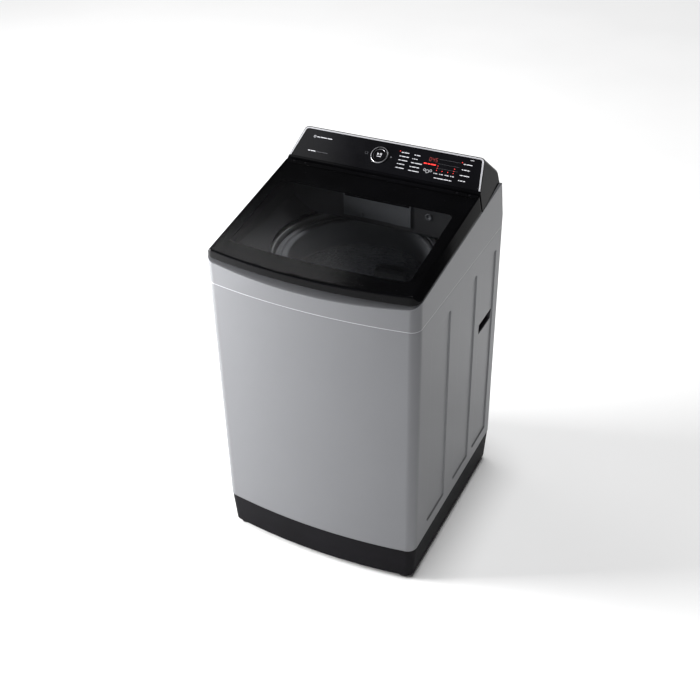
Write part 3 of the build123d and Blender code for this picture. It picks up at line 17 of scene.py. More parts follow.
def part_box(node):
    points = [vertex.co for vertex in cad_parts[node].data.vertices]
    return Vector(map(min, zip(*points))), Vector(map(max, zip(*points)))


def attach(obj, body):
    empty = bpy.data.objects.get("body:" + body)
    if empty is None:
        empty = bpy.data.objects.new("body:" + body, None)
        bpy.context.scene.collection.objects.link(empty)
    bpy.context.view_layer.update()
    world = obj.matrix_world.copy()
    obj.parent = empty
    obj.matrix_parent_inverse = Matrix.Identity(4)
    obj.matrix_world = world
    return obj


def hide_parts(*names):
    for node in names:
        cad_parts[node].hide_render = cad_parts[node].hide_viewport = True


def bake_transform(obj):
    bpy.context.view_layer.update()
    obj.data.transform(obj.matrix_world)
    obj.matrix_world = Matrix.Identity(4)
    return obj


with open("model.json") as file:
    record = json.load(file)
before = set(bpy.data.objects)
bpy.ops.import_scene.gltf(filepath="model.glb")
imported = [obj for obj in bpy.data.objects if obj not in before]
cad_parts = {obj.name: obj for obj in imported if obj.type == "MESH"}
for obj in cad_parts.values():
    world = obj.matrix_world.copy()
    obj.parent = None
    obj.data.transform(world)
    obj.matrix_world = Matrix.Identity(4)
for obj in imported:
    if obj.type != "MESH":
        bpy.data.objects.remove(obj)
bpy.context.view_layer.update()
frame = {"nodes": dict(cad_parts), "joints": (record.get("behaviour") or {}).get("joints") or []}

MM = 0.001
LOG = logging.getLogger("washing_machine")
FULL_TURN = 2 * math.pi


# ------------------------------------------------------------------ finishes
class Grain(Enum):
    """Pattern that a surface's making leaves on it."""

    GRAINED = "ShaderNodeTexNoise"
    PEBBLED = "ShaderNodeTexVoronoi"


def linear(colour: str) -> tuple[float, float, float, float]:
    """Turn an sRGB hex colour to linear light.

    Args:
        colour: six hex digits after a hash.

    Returns:
        Red, green, blue and an alpha of one.
    """
    parts = [int(colour[start:start + 2], 16) / 255 for start in (1, 3, 5)]
    light = [c / 12.92 if c <= 0.04045 else ((c + 0.055) / 1.055) ** 2.4 for c in parts]
    return (*light, 1.0)


def add_node(tree: bpy.types.NodeTree, kind: str, settings: dict | None = None,
             inputs: dict | None = None) -> bpy.types.Node:
    """Add one shader node with its settings and links.

    Args:
        tree: node tree of the material.
        kind: Blender's name for the node.
        settings: attributes to set on the node.
        inputs: socket to a value, or to the (node, output) that feeds it.

    Returns:
        The new node.
    """
    node = tree.nodes.new(kind)
    for key, value in (settings or {}).items():
        setattr(node, key, value)
    for key, value in (inputs or {}).items():
        if isinstance(value, tuple) and isinstance(value[0], bpy.types.Node):
            tree.links.new(value[0].outputs[value[1]], node.inputs[key])
        else:
            node.inputs[key].default_value = value
    return node


@dataclass(frozen=True)
class Finish:
    """One real material and the way its surface was made.

    The base colour drifts to the shade in wide soft patches, and the grain
    drives the relief and the roughness.
    """

    name: str
    colour: str
    shade: str
    roughness: float
    roughness_span: float = 0.05
    metallic: float = 0.0
    ior: float = 1.5
    grain: Grain = Grain.GRAINED
    grain_mm: float = 1.0
    relief_mm: float = 0.01
    stretch: tuple[float, float, float] = (1.0, 1.0, 1.0)
    patch_mm: float = 120.0
    edge_mm: float = 0.0
    alpha: float = 1.0
    glow: float = 0.0
    # start height and width, in millimetres, of a painted highlight band along a lower edge
    highlight_band_mm: tuple[float, float] | None = None
    highlight_band_colour: str = "#FFFFFF"

    def add_painted_highlight(self, tree: bpy.types.NodeTree, place: bpy.types.Node,
                tone: bpy.types.Node) -> bpy.types.Node:
        """Paint a narrow band lighter: a painted highlight where a rolled lower lip would catch the light.

        Args:
            tree: the material's nodes.
            place: its texture coordinates.
            tone: the colour so far.

        Returns:
            The node that mixes the band's lighter colour into it.
        """
        start, width = (value * MM for value in self.highlight_band_mm)
        parts = add_node(tree, "ShaderNodeSeparateXYZ", inputs={"Vector": (place, "Object")})
        fade = add_node(tree, "ShaderNodeMapRange", {"interpolation_type": "SMOOTHSTEP"},
                        {"Value": (parts, "Z"), "From Min": start, "From Max": start + width,
                         "To Min": 1.0, "To Max": 0.0})
        return add_node(tree, "ShaderNodeMix", {"data_type": "RGBA"},
                        {0: (fade, 0), 6: (tone, 2), 7: linear(self.highlight_band_colour)})

    def material(self) -> bpy.types.Material:
        """Make the material once, and give the same one back after that."""
        found = bpy.data.materials.get(self.name)
        if found is not None and found.get("finish"):
            return found
        made = bpy.data.materials.new(self.name)
        made["finish"] = True
        made.use_nodes = True
        tree = made.node_tree
        tree.nodes.clear()
        place = add_node(tree, "ShaderNodeTexCoord")
        run = add_node(tree, "ShaderNodeMapping",
                       inputs={"Vector": (place, "Object"), "Scale": self.stretch})
        grain = add_node(tree, self.grain.value,
                         inputs={"Vector": (run, "Vector"), "Scale": 1 / (self.grain_mm * MM)})
        patch = add_node(tree, "ShaderNodeTexNoise",
                         inputs={"Vector": (place, "Object"), "Scale": 1 / (self.patch_mm * MM),
                                 "Detail": 3.0})
        drift = add_node(tree, "ShaderNodeMapRange",
                         inputs={"Value": (patch, 0), "From Min": 0.35, "From Max": 0.65})
        tone = add_node(tree, "ShaderNodeMix", {"data_type": "RGBA"},
                        {0: (drift, 0), 6: linear(self.colour), 7: linear(self.shade)})
        # painted highlight: a lighter band along the lower edge
        if self.highlight_band_mm:
            tone = self.add_painted_highlight(tree, place, tone)
        low_gloss = max(self.roughness - self.roughness_span, 0.0)
        high_gloss = self.roughness + self.roughness_span
        gloss = add_node(tree, "ShaderNodeMapRange",
                         inputs={"Value": (grain, 0), "To Min": low_gloss, "To Max": high_gloss})
        bump_inputs = {"Height": (grain, 0), "Distance": self.relief_mm * MM, "Strength": 0.6}
        if self.edge_mm:
            edge = add_node(tree, "ShaderNodeBevel", {"samples": 6}, {"Radius": self.edge_mm * MM})
            bump_inputs["Normal"] = (edge, 0)
        bump = add_node(tree, "ShaderNodeBump", inputs=bump_inputs)
        shader = add_node(tree, "ShaderNodeBsdfPrincipled", inputs={
            "Base Color": (tone, 2), "Roughness": (gloss, 0), "Normal": (bump, 0),
            "Metallic": self.metallic, "IOR": self.ior, "Alpha": self.alpha})
        if self.glow:
            shader.inputs["Emission Color"].default_value = linear(self.colour)
            shader.inputs["Emission Strength"].default_value = self.glow
        add_node(tree, "ShaderNodeOutputMaterial", inputs={"Surface": (shader, 0)})
        return made


# Powder coat over bent sheet steel: a warm silver satin with a fine flake that breaks up the glare.
POWDER_COATED_STEEL = Finish(
    "powder_coated_steel", colour="#6C6D70", shade="#6A6B6E",
    roughness=0.36, roughness_span=0.05, metallic=0.35, patch_mm=400.0, grain_mm=0.9,
    relief_mm=0.006, edge_mm=2.6)
# ABS moulded and painted to match the steel: the same silver, a touch smoother, no grain direction.
# Its lower edge has a painted highlight: a band of lighter colour along the joint with the sheet, not a
# shape.
PAINTED_ABS = Finish(
    "painted_abs", colour="#6B6C6F", shade="#696A6D",
    roughness=0.36, roughness_span=0.05, metallic=0.35, patch_mm=400.0, grain_mm=1.2,
    relief_mm=0.006, edge_mm=0.8, highlight_band_mm=(772.0, 2.6), highlight_band_colour="#B4B5B8")
# High gloss black ABS from a polished mould: mirror like, with the faint ripple of moulded plastic.
# The index of refraction of the three blacks is set below the plastic's own (about 1.5), so that the
# pale floor doesn't wash them out.
PIANO_BLACK_ABS = Finish(
    "piano_black_abs", colour="#060607", shade="#09090B",
    roughness=0.14, roughness_span=0.03, ior=1.17, grain_mm=22.0, relief_mm=0.01, edge_mm=1.3)
# Acrylic sheet printed black on its back: a deep black under a smooth clear face.
PRINTED_ACRYLIC = Finish(
    "printed_acrylic", colour="#0A0A0C", shade="#0E0E11",
    roughness=0.14, roughness_span=0.03, ior=1.25, grain_mm=30.0, relief_mm=0.006, edge_mm=0.5)
# Smoke tinted clear panel: it shows the drum darkly and reflects softly.
SMOKED_CLEAR_PANEL = Finish(
    "smoked_clear_panel", colour="#050506", shade="#08080A",
    roughness=0.13, roughness_span=0.02, grain_mm=60.0, relief_mm=0.004, alpha=0.27)
# Satin chrome plate on ABS: a soft bright line. It is only partly metallic, to stay light under the
# overhead light where a full metal would mirror the dim surround.
SATIN_CHROME = Finish(
    "satin_chrome_plate", colour="#C2C2C6", shade="#B8B8BC",
    roughness=0.30, roughness_span=0.05, metallic=0.55, grain_mm=0.6, relief_mm=0.004,
    stretch=(0.1, 1.0, 1.0), edge_mm=0.4)
# Polypropylene moulded with a spark eroded texture: matt black that hides scuffs.
TEXTURED_PP_BLACK = Finish(
    "textured_polypropylene_black", colour="#0B0A0D", shade="#100F13",
    roughness=0.60, roughness_span=0.08, ior=1.15, grain=Grain.PEBBLED, grain_mm=1.4,
    relief_mm=0.05, edge_mm=1.2)
# The same polypropylene with a lighter pigment, for the hand holds.
TEXTURED_PP_CHARCOAL = Finish(
    "textured_polypropylene_charcoal", colour="#4A4A4E", shade="#434347",
    roughness=0.55, roughness_span=0.08, grain=Grain.PEBBLED, grain_mm=1.4, relief_mm=0.05,
    edge_mm=1.2)
# Moulded nitrile rubber: dull, slightly mottled, with no reflection.
NITRILE_RUBBER = Finish(
    "nitrile_rubber", colour="#161616", shade="#1E1D1D",
    roughness=0.78, roughness_span=0.08, grain=Grain.PEBBLED, grain_mm=1.0, relief_mm=0.04)
# Rolled stainless sheet: fine lines round the drum stretch each highlight.
ROLLED_STAINLESS = Finish(
    "rolled_stainless_steel", colour="#B9BABC", shade="#ABACAF",
    roughness=0.28, roughness_span=0.08, metallic=1.0, grain_mm=0.8, relief_mm=0.01,
    stretch=(0.06, 0.06, 1.0), patch_mm=60.0)
# Pressed studs of the same stainless, lighter in colour than the sheet round them: a painted highlight on
# top of their real reflection.
STUD_STAINLESS_HIGHLIGHTED = Finish(
    "stud_stainless_painted_highlight", colour="#F6F7F8", shade="#ECEDEF",
    roughness=0.30, roughness_span=0.06, metallic=0.9, grain_mm=0.6, relief_mm=0.006)
# Turned and plated steel of shafts, pins and screws: tight rings of reflection.
TURNED_STEEL = Finish(
    "turned_steel", colour="#A2A5A9", shade="#8F9297",
    roughness=0.30, roughness_span=0.08, metallic=1.0, grain_mm=0.5, relief_mm=0.008,
    stretch=(1.0, 1.0, 0.1), edge_mm=0.4)
# Blackened steel of the hinge pins: oiled oxide, with a dull shine.
BLACKENED_STEEL = Finish(
    "blackened_steel", colour="#2A2B2D", shade="#1F2022",
    roughness=0.42, roughness_span=0.08, metallic=1.0, grain_mm=0.5, relief_mm=0.006,
    stretch=(0.1, 1.0, 1.0), edge_mm=0.3)
# Hot dip galvanised sheet: a grey spangle of large flat crystals.
GALVANISED_STEEL = Finish(
    "galvanised_steel", colour="#9DA2A6", shade="#94999E",
    roughness=0.42, roughness_span=0.10, metallic=0.9, grain=Grain.PEBBLED, grain_mm=9.0,
    relief_mm=0.01, patch_mm=14.0)
# Die cast aluminium: a matt skin with the flow marks of the casting.
DIE_CAST_ALUMINIUM = Finish(
    "die_cast_aluminium", colour="#A3A5A8", shade="#8D9094",
    roughness=0.50, roughness_span=0.10, metallic=0.9, grain_mm=1.6, relief_mm=0.05,
    patch_mm=30.0, edge_mm=0.8)
# Filled polypropylene of the tub: chalky white with a soft sheen.
MOULDED_PP_WHITE = Finish(
    "moulded_polypropylene_white", colour="#D3D5D6", shade="#C8CBCD",
    roughness=0.46, roughness_span=0.06, grain_mm=2.2, relief_mm=0.03, edge_mm=0.8)
# Unfilled polypropylene of the balance ring and pulsator: pale grey, waxy.
MOULDED_PP_GREY = Finish(
    "moulded_polypropylene_grey", colour="#A9ACB0", shade="#9EA1A6",
    roughness=0.34, roughness_span=0.06, grain_mm=1.8, relief_mm=0.015, edge_mm=1.0)
# Polypropylene of the lint filters, whiter than the drum's grey plastic: painted light, so that they show
# in the drum's shade.
FILTER_PP_WHITE = Finish(
    "filter_polypropylene_white", colour="#D6D8D9", shade="#CBCED0",
    roughness=0.44, roughness_span=0.06, grain_mm=1.4, relief_mm=0.015)
# ABS of the drawer: mid grey, satin from a fine mould texture.
MOULDED_ABS_GREY = Finish(
    "moulded_abs_grey", colour="#8E9196", shade="#85888E",
    roughness=0.40, roughness_span=0.06, grain_mm=1.1, relief_mm=0.02, edge_mm=0.7)
# Moulded acetal of valves, cups and switches: bright off white.
MOULDED_ACETAL = Finish(
    "moulded_acetal", colour="#DCDCD8", shade="#D1D1CC",
    roughness=0.36, roughness_span=0.06, grain_mm=1.5, relief_mm=0.015, edge_mm=0.5)
# Solder resist over glass fibre: green with the weave just showing through.
SOLDER_RESIST = Finish(
    "solder_resist_board", colour="#12402A", shade="#0E3522",
    roughness=0.34, roughness_span=0.08, grain=Grain.PEBBLED, grain_mm=0.8, relief_mm=0.01,
    patch_mm=14.0)
# Enamelled copper wire laid side by side: ribs one wire apart.
ENAMELLED_COPPER = Finish(
    "enamelled_copper_wire", colour="#B0622F", shade="#8F4A20",
    roughness=0.28, roughness_span=0.08, metallic=1.0, grain_mm=0.9, relief_mm=0.12,
    stretch=(0.1, 0.1, 1.0), patch_mm=18.0)
# Sintered bronze of plain bushes: brown gold, slightly porous.
SINTERED_BRONZE = Finish(
    "sintered_bronze", colour="#8A6A3A", shade="#77592E",
    roughness=0.45, roughness_span=0.10, metallic=1.0, grain=Grain.PEBBLED, grain_mm=0.5,
    relief_mm=0.02)
# Sintered ferrite: charcoal grey and matt.
SINTERED_FERRITE = Finish(
    "sintered_ferrite", colour="#2C2D30", shade="#232427",
    roughness=0.62, roughness_span=0.08, grain_mm=0.7, relief_mm=0.02)
# White screen print of the labels: flat and slightly grey so that it sits into the black. Its faint glow
# is painted light; the print is no lamp.
SCREEN_PRINT_WHITE = Finish(
    "screen_print_white", colour="#C6C6CA", shade="#B9B9BE",
    roughness=0.5, roughness_span=0.05, grain_mm=0.4, relief_mm=0.004, glow=0.12)
# Dead front print of the touch symbols: it hardly shows until it is lit.
SCREEN_PRINT_FAINT = Finish(
    "screen_print_faint", colour="#4A4A4F", shade="#404045",
    roughness=0.5, roughness_span=0.05, grain_mm=0.4, relief_mm=0.004)
# Red light emitting segments behind the acrylic.
LIT_RED_SEGMENT = Finish(
    "lit_red_segment", colour="#E3261C", shade="#C91E15",
    roughness=0.4, roughness_span=0.05, grain_mm=0.8, relief_mm=0.004, glow=1.6)
# The same segments at the dim level of a standby digit.
DIM_RED_SEGMENT = Finish(
    "dim_red_segment", colour="#8E1A16", shade="#761411",
    roughness=0.4, roughness_span=0.05, grain_mm=0.8, relief_mm=0.004, glow=0.5)
# Painted studio floor: a pale even sweep.
STUDIO_FLOOR = Finish(
    "painted_studio_floor", colour="#F4F4F4", shade="#F1F1F1",
    roughness=0.85, roughness_span=0.05, grain_mm=6.0, relief_mm=0.02, patch_mm=900.0)


# --------------------------------------------------------------- mesh helpers
def dress(finishes: dict[str, Finish]) -> None:
    """Give CAD nodes their finishes.

    Args:
        finishes: CAD node name to finish.
    """
    for node, finish in finishes.items():
        mesh = frame["nodes"][node].data
        mesh.materials.clear()
        mesh.materials.append(finish.material())
        LOG.info("dressed %s in %s", node, finish.name)


def centre_and_radius(node: str) -> tuple[Vector, float]:
    """Middle of a CAD node's box, and half its width along X."""
    low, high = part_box(node)
    return (low + high) / 2, (high.x - low.x) / 2


def new_piece(name: str, mesh: bmesh.types.BMesh, finish: Finish,
              smooth: bool = True) -> bpy.types.Object:
    """Turn a built mesh into an object with its finish.

    Args:
        name: name of the piece.
        mesh: the built mesh, which is freed.
        finish: its finish.
        smooth: whether its faces are shaded smooth.

    Returns:
        The new object, linked to the scene.
    """
    bmesh.ops.recalc_face_normals(mesh, faces=mesh.faces)
    for face in mesh.faces:
        face.smooth = smooth
    data = bpy.data.meshes.new(name)
    mesh.to_mesh(data)
    mesh.free()
    data.materials.append(finish.material())
    piece = bpy.data.objects.new(name, data)
    bpy.context.scene.collection.objects.link(piece)
    LOG.info("built %s, %d faces", name, len(data.polygons))
    return piece


def add_lathe(mesh: bmesh.types.BMesh, profile: list[tuple[float, float]], centre: Vector,
              segments: int = 48, basis: Matrix | None = None) -> None:
    """Turn a closed profile about an axis.

    Args:
        mesh: mesh to add to.
        profile: (radius, height) points of a closed outline, in metres.
        centre: foot of the axis.
        segments: steps round the axis.
        basis: turns the Z axis to the wanted axis.
    """
    turn = basis or Matrix.Identity(3)
    rings = []
    for step in range(segments):
        angle = FULL_TURN * step / segments
        across = Vector((math.cos(angle), math.sin(angle), 0.0))
        rings.append([mesh.verts.new(centre + turn @ (across * radius + Vector((0, 0, height))))
                      for radius, height in profile])
    for step, ring in enumerate(rings):
        following = rings[(step + 1) % segments]
        for point in range(len(profile)):
            after = (point + 1) % len(profile)
            mesh.faces.new((ring[point], following[point], following[after], ring[after]))


def add_tube(mesh: bmesh.types.BMesh, points: list[Vector], radius: float, sides: int = 10) -> None:
    """Sweep a round wire through points, with closed ends.

    Args:
        mesh: mesh to add to.
        points: centre line, in metres.
        radius: of the wire.
        sides: corners of its cross section.
    """
    rings = []
    for index, point in enumerate(points):
        before = points[max(index - 1, 0)]
        after = points[min(index + 1, len(points) - 1)]
        along = (after - before).normalized()
        side = along.cross(Vector((0, 0, 1))).normalized()
        over = side.cross(along)
        rings.append([mesh.verts.new(point + radius * (side * math.cos(FULL_TURN * step / sides)
                                                       + over * math.sin(FULL_TURN * step / sides)))
                      for step in range(sides)])
    for ring, following in zip(rings, rings[1:]):
        for step in range(sides):
            after = (step + 1) % sides
            mesh.faces.new((ring[step], ring[after], following[after], following[step]))
    mesh.faces.new(rings[0])
    mesh.faces.new(rings[-1])


# -------------------------------------------------------------------- cabinet
@dataclass
class Cabinet:
    """Painted shell, plinth, feet, top cover and what is screwed to them."""

    nozzle_radius_mm: float = 9.0
    nozzle_proud_mm: float = 2.4
    nozzle_x_mm: float = 137.0
    nozzle_below_deck_mm: float = 46.0
    nozzle_wall_mm: float = 4.6

    def dress(self) -> None:
        """Give the shell's CAD nodes their finishes."""
        dress({
            "base_frame": TEXTURED_PP_BLACK, "rear_feet": NITRILE_RUBBER,
            "left_leveling_foot": NITRILE_RUBBER, "right_leveling_foot": NITRILE_RUBBER,
            "cabinet_wrap": POWDER_COATED_STEEL, "back_panel": GALVANISED_STEEL,
            "rear_screws": TURNED_STEEL, "handle_cups": TEXTURED_PP_CHARCOAL,
            "top_cover": PAINTED_ABS, "lid_buffers": NITRILE_RUBBER, "cord_grommet": NITRILE_RUBBER,
            "suspension_brackets": GALVANISED_STEEL, "suspension_rods": TURNED_STEEL,
            "suspension_cups": MOULDED_ACETAL, "level_sensor": MOULDED_ACETAL,
            "inlet_valve": MOULDED_ACETAL, "fill_hose": NITRILE_RUBBER,
        })

    def build_spray_nozzle(self) -> None:
        """Round nozzle cover on the funnel's rear wall, beside the drawer."""
        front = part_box("detergent_drawer")[0].y
        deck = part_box("drawer_housing")[1].z
        radius = self.nozzle_radius_mm * MM
        proud = self.nozzle_proud_mm * MM
        wall = front + self.nozzle_wall_mm * MM
        centre = Vector((self.nozzle_x_mm * MM, wall, deck - self.nozzle_below_deck_mm * MM))
        jet = 0.5 * MM
        dish = proud * 0.55
        profile = [(jet, 0.0), (radius, 0.0), (radius, proud * 0.5), (radius * 0.9, proud),
                   (radius * 0.62, proud), (radius * 0.55, dish), (jet, dish)]
        mesh = bmesh.new()
        add_lathe(mesh, profile, centre, basis=Matrix.Rotation(math.pi / 2, 3, "X"))
        piece = new_piece("spray_nozzle", mesh, MOULDED_ABS_GREY)
        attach(piece, "cabinet")

    def build(self) -> None:
        """Dress the shell and add its small moulded piece."""
        self.dress()
        self.build_spray_nozzle()


# ------------------------------------------------------------------------ lid
@dataclass
class Lid:
    """Black frame, smoked panel and hinge."""

    def build(self) -> None:
        """Dress the lid and its hinge."""
        dress({"lid_frame": PIANO_BLACK_ABS, "lid_window": SMOKED_CLEAR_PANEL,
               "hinge_brackets": TEXTURED_PP_BLACK, "hinge_pins": BLACKENED_STEEL})


# -------------------------------------------------------------------- console
@dataclass(frozen=True)
class LabelLine:
    """One printed line: where it starts and ends, its height and its number of words."""

    start_mm: float
    end_mm: float
    up_mm: float
    words: int


@dataclass(frozen=True)
class LabelColumn:
    """A column of printed course names, from the top down."""

    start_mm: float
    widths_mm: tuple[float, ...]
    top_mm: float
    pitch_mm: float
    first_indent_mm: float = 2.0


@dataclass
class Console:
    """Sloped housing with its printed panel, dial and lit display.

    Places on the panel are (across, up) in millimetres: across from the
    machine's middle, up the slope from the joint with the lid.
    """

    dial_across_mm: float = -20.8
    dial_up_mm: float = 48.8
    print_lift_mm: float = 0.03
    print_thickness_mm: float = 0.07
    label_height_mm: float = 2.1
    ring_face_mm: tuple[float, float] = (15.7, 20.7)
    mark_ring_mm: tuple[float, float, float, float] = (-206.5, 67.0, 3.4, 1.1)
    label_lines: tuple[LabelLine, ...] = (
        LabelLine(-200.5, -158.0, 67.0, 3),
        LabelLine(-211.0, -190.0, 27.0, 2),
        LabelLine(133.0, 179.0, 18.0, 4),
        LabelLine(194.0, 216.0, 67.0, 2),
        LabelLine(194.0, 214.0, 52.0, 3),
        LabelLine(194.0, 218.0, 37.0, 2),
        LabelLine(194.0, 212.0, 23.0, 3),
    )
    label_columns: tuple[LabelColumn, ...] = (
        LabelColumn(30.0, (22.0, 25.0, 24.0, 20.0, 22.0), 68.0, 10.5),
        LabelColumn(64.0, (18.0, 14.0, 29.0, 25.0, 28.0), 67.0, 10.6),
    )
    corner_dash_mm: tuple[float, float, float, float] = (207.0, 217.0, 80.0, 1.2)
    cycle_rings_mm: tuple[tuple[float, float, float], ...] = (
        (104.0, 34.0, 3.2), (112.0, 31.0, 4.4), (120.0, 34.0, 3.2))
    cycle_ring_width_mm: float = 0.9
    setting_keys_mm: tuple[float, ...] = (133.6, 148.2, 162.7, 176.5)
    setting_half_mm: float = 5.0
    setting_label_up_mm: float = 29.5
    power_ring_mm: tuple[float, float, float, float] = (-56.5, 49.5, 4.0, 0.7)
    start_arrow_mm: tuple[float, float, float, float] = (8.0, 13.0, 46.5, 52.5)
    hairlines_mm: tuple[tuple[float, float, float, float], ...] = (
        (-188.0, -156.0, 27.0, 1.0),
        (131.0, 186.0, 44.0, 0.4), (131.0, 186.0, 56.0, 0.4), (131.0, 186.0, 68.0, 0.4))
    lit_bars_mm: tuple[tuple[float, float], ...] = ((96.0, 9.0), (106.5, 6.0), (113.8, 14.0))
    lit_bar_up_mm: float = 51.0
    lit_bar_height_mm: float = 2.8
    lamp_mm: tuple[float, float] = (0.95, 0.9)
    lamp_up_mm: float = 38.0
    lamp_pitch_mm: float = 6.0
    lamps_lit: tuple[int, ...] = (3, 1, 1, 3)
    chosen_lamps_mm: tuple[tuple[float, float], ...] = ((27.5, 70.5), (190.0, 70.0))
    digits_lit: tuple[tuple[float, str], ...] = ((109.5, "abcdef"), (117.5, "bcfg"), (125.5, "acdfg"))
    digits_up_mm: float = 64.0
    digit_half_mm: float = 2.3
    segment_half_mm: float = 0.45

    def __post_init__(self) -> None:
        """Work out the panel's plane from the dial's joint."""
        joint = next(j for j in frame["joints"] if j["name"] == "dial_turn")
        self.out = Vector(joint["axis"]).normalized()
        self.across = Vector((1, 0, 0))
        self.up = self.out.cross(self.across)
        self.dial = Vector(joint["pos_m"])
        self.origin = self.dial - (self.across * self.dial_across_mm + self.up * self.dial_up_mm) * MM

    def point(self, across_mm: float, up_mm: float, out_mm: float) -> Vector:
        """A place on the panel in metres."""
        return self.origin + (self.across * across_mm + self.up * up_mm + self.out * out_mm) * MM

    def add_shape(self, mesh: bmesh.types.BMesh, outline: list[tuple[float, float]],
                  lift_mm: float | None = None) -> None:
        """Add one printed shape as a thin plate.

        Args:
            mesh: mesh to add to.
            outline: (across, up) corners in millimetres.
            lift_mm: height of its underside over the panel.
        """
        low = self.print_lift_mm if lift_mm is None else lift_mm
        high = low + self.print_thickness_mm
        under = [mesh.verts.new(self.point(x, s, low)) for x, s in outline]
        over = [mesh.verts.new(self.point(x, s, high)) for x, s in outline]
        mesh.faces.new(over)
        mesh.faces.new(list(reversed(under)))
        for index in range(len(outline)):
            after = (index + 1) % len(outline)
            mesh.faces.new((under[index], under[after], over[after], over[index]))

    def add_bar(self, mesh: bmesh.types.BMesh, x0: float, x1: float, middle: float,
                height: float) -> None:
        """Add a bar with rounded ends, centred on a height."""
        half = height / 2
        outline = []
        for end, start in ((x1 - half, -90), (x0 + half, 90)):
            for step in range(7):
                angle = math.radians(start + step * 30)
                outline.append((end + half * math.cos(angle), middle + half * math.sin(angle)))
        self.add_shape(mesh, outline)

    def add_words(self, mesh: bmesh.types.BMesh, x0: float, x1: float, middle: float, parts: int) -> None:
        """Add a label as a few bars of uneven length, with no lettering."""
        gap = 1.1
        shares = [1.0 + 0.55 * ((index * 2) % 3) for index in range(parts)]
        room = (x1 - x0) - gap * (parts - 1)
        start = x0
        for share in shares:
            width = room * share / sum(shares)
            self.add_bar(mesh, start, start + width, middle, self.label_height_mm)
            start += width + gap

    def add_ring(self, mesh: bmesh.types.BMesh, x: float, s: float, outer: float, width: float,
                 start_deg: float = 0.0, sweep_deg: float = 360.0, lift_mm: float | None = None) -> None:
        """Add an arc or a full ring as a chain of short plates."""
        steps = max(8, int(sweep_deg / 15))
        for index in range(steps):
            angles = [math.radians(start_deg + sweep_deg * (index + offset) / steps) for offset in (0, 1)]
            outline = [(x + r * math.cos(a), s + r * math.sin(a))
                       for r, a in ((outer, angles[0]), (outer, angles[1]),
                                    (outer - width, angles[1]), (outer - width, angles[0]))]
            self.add_shape(mesh, outline, lift_mm)

    def add_digit(self, mesh: bmesh.types.BMesh, x: float, s: float, lit: str) -> None:
        """Add the lit segments of one seven segment digit.

        Args:
            mesh: mesh to add to.
            x: its middle across the panel, in millimetres.
            s: its middle up the panel, in millimetres.
            lit: letters a to g of the segments that are lit.
        """
        wide, tall, thick, gap = self.digit_half_mm, self.digit_half_mm, self.segment_half_mm, 0.5
        level = {"a": tall * 2, "g": 0.0, "d": -tall * 2}
        stand = {"f": (-wide, tall), "b": (wide, tall), "e": (-wide, -tall), "c": (wide, -tall)}
        for name in lit:
            if name in level:
                up = s + level[name]
                half = wide - gap
                self.add_shape(mesh, [(x - half, up - thick), (x + half, up - thick),
                                      (x + half + thick, up), (x + half, up + thick),
                                      (x - half, up + thick), (x - half - thick, up)])
            else:
                side, up = x + stand[name][0], s + stand[name][1]
                half = tall - gap
                self.add_shape(mesh, [(side - thick, up - half), (side, up - half - thick),
                                      (side + thick, up - half), (side + thick, up + half),
                                      (side, up + half + thick), (side - thick, up + half)])

    def ride_print(self, name: str, mesh: bmesh.types.BMesh, finish: Finish,
                   body: str = "cabinet") -> None:
        """Make a print from its mesh and let it ride on its body."""
        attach(new_piece(name, mesh, finish, smooth=False), body)

    def build_labels(self) -> None:
        """White printed labels: two course columns, options and the touch keys."""
        mesh = bmesh.new()
        across, up, outer, width = self.mark_ring_mm
        self.add_ring(mesh, across, up, outer, width)
        for line in self.label_lines:
            self.add_words(mesh, line.start_mm, line.end_mm, line.up_mm, line.words)
        for column in self.label_columns:
            for row, width in enumerate(column.widths_mm):
                start = column.start_mm + (column.first_indent_mm if row == 0 else 0)
                self.add_words(mesh, start, column.start_mm + width, column.top_mm - row * column.pitch_mm,
                               2 + row % 2)
        for x in self.setting_keys_mm:
            self.add_words(mesh, x - self.setting_half_mm, x + self.setting_half_mm,
                           self.setting_label_up_mm, 2)
        self.add_bar(mesh, *self.corner_dash_mm)
        for across, up, outer in self.cycle_rings_mm:
            self.add_ring(mesh, across, up, outer, self.cycle_ring_width_mm)
        self.ride_print("printed_labels", mesh, SCREEN_PRINT_WHITE)

    def build_symbols(self) -> None:
        """Faint touch symbols on both sides of the dial, and a hairline under the mark."""
        mesh = bmesh.new()
        across, up, outer, width = self.power_ring_mm
        self.add_ring(mesh, across, up, outer, width, start_deg=120, sweep_deg=300)
        self.add_bar(mesh, across - 0.4, across + 0.4, up + 3.0, 0.8)
        left, right, low, high = self.start_arrow_mm
        self.add_shape(mesh, [(left, low), (right, (low + high) / 2), (left, high)])
        for hairline in self.hairlines_mm:
            self.add_bar(mesh, *hairline)
        self.ride_print("touch_symbols", mesh, SCREEN_PRINT_FAINT)

    def build_display(self) -> None:
        """Lit red marks: bars and the dots of chosen options."""
        mesh = bmesh.new()
        for start, width in self.lit_bars_mm:
            self.add_bar(mesh, start, start + width, self.lit_bar_up_mm, self.lit_bar_height_mm)
        outer, width = self.lamp_mm
        for x, lamps in zip(self.setting_keys_mm, self.lamps_lit):
            for level in range(lamps):
                self.add_ring(mesh, x, self.lamp_up_mm + level * self.lamp_pitch_mm, outer, width)
        for across, up in self.chosen_lamps_mm:
            self.add_ring(mesh, across, up, outer + 0.05, outer)
        self.ride_print("display_lights", mesh, LIT_RED_SEGMENT)

    def build_digits(self) -> None:
        """Three dim red digits of the time display."""
        mesh = bmesh.new()
        for x, lit in self.digits_lit:
            self.add_digit(mesh, x, self.digits_up_mm, lit)
        self.ride_print("display_digits", mesh, DIM_RED_SEGMENT)

    def build_ring_face(self) -> None:
        """Gloss black inlay on the ring's face; only its outer edge stays silver."""
        top = self.height_over_panel("dial_ring")
        inner, outer = self.ring_face_mm
        mesh = bmesh.new()
        self.add_ring(mesh, self.dial_across_mm, self.dial_up_mm, outer, outer - inner, lift_mm=top)
        self.ride_print("dial_ring_face", mesh, PIANO_BLACK_ABS, "dial")

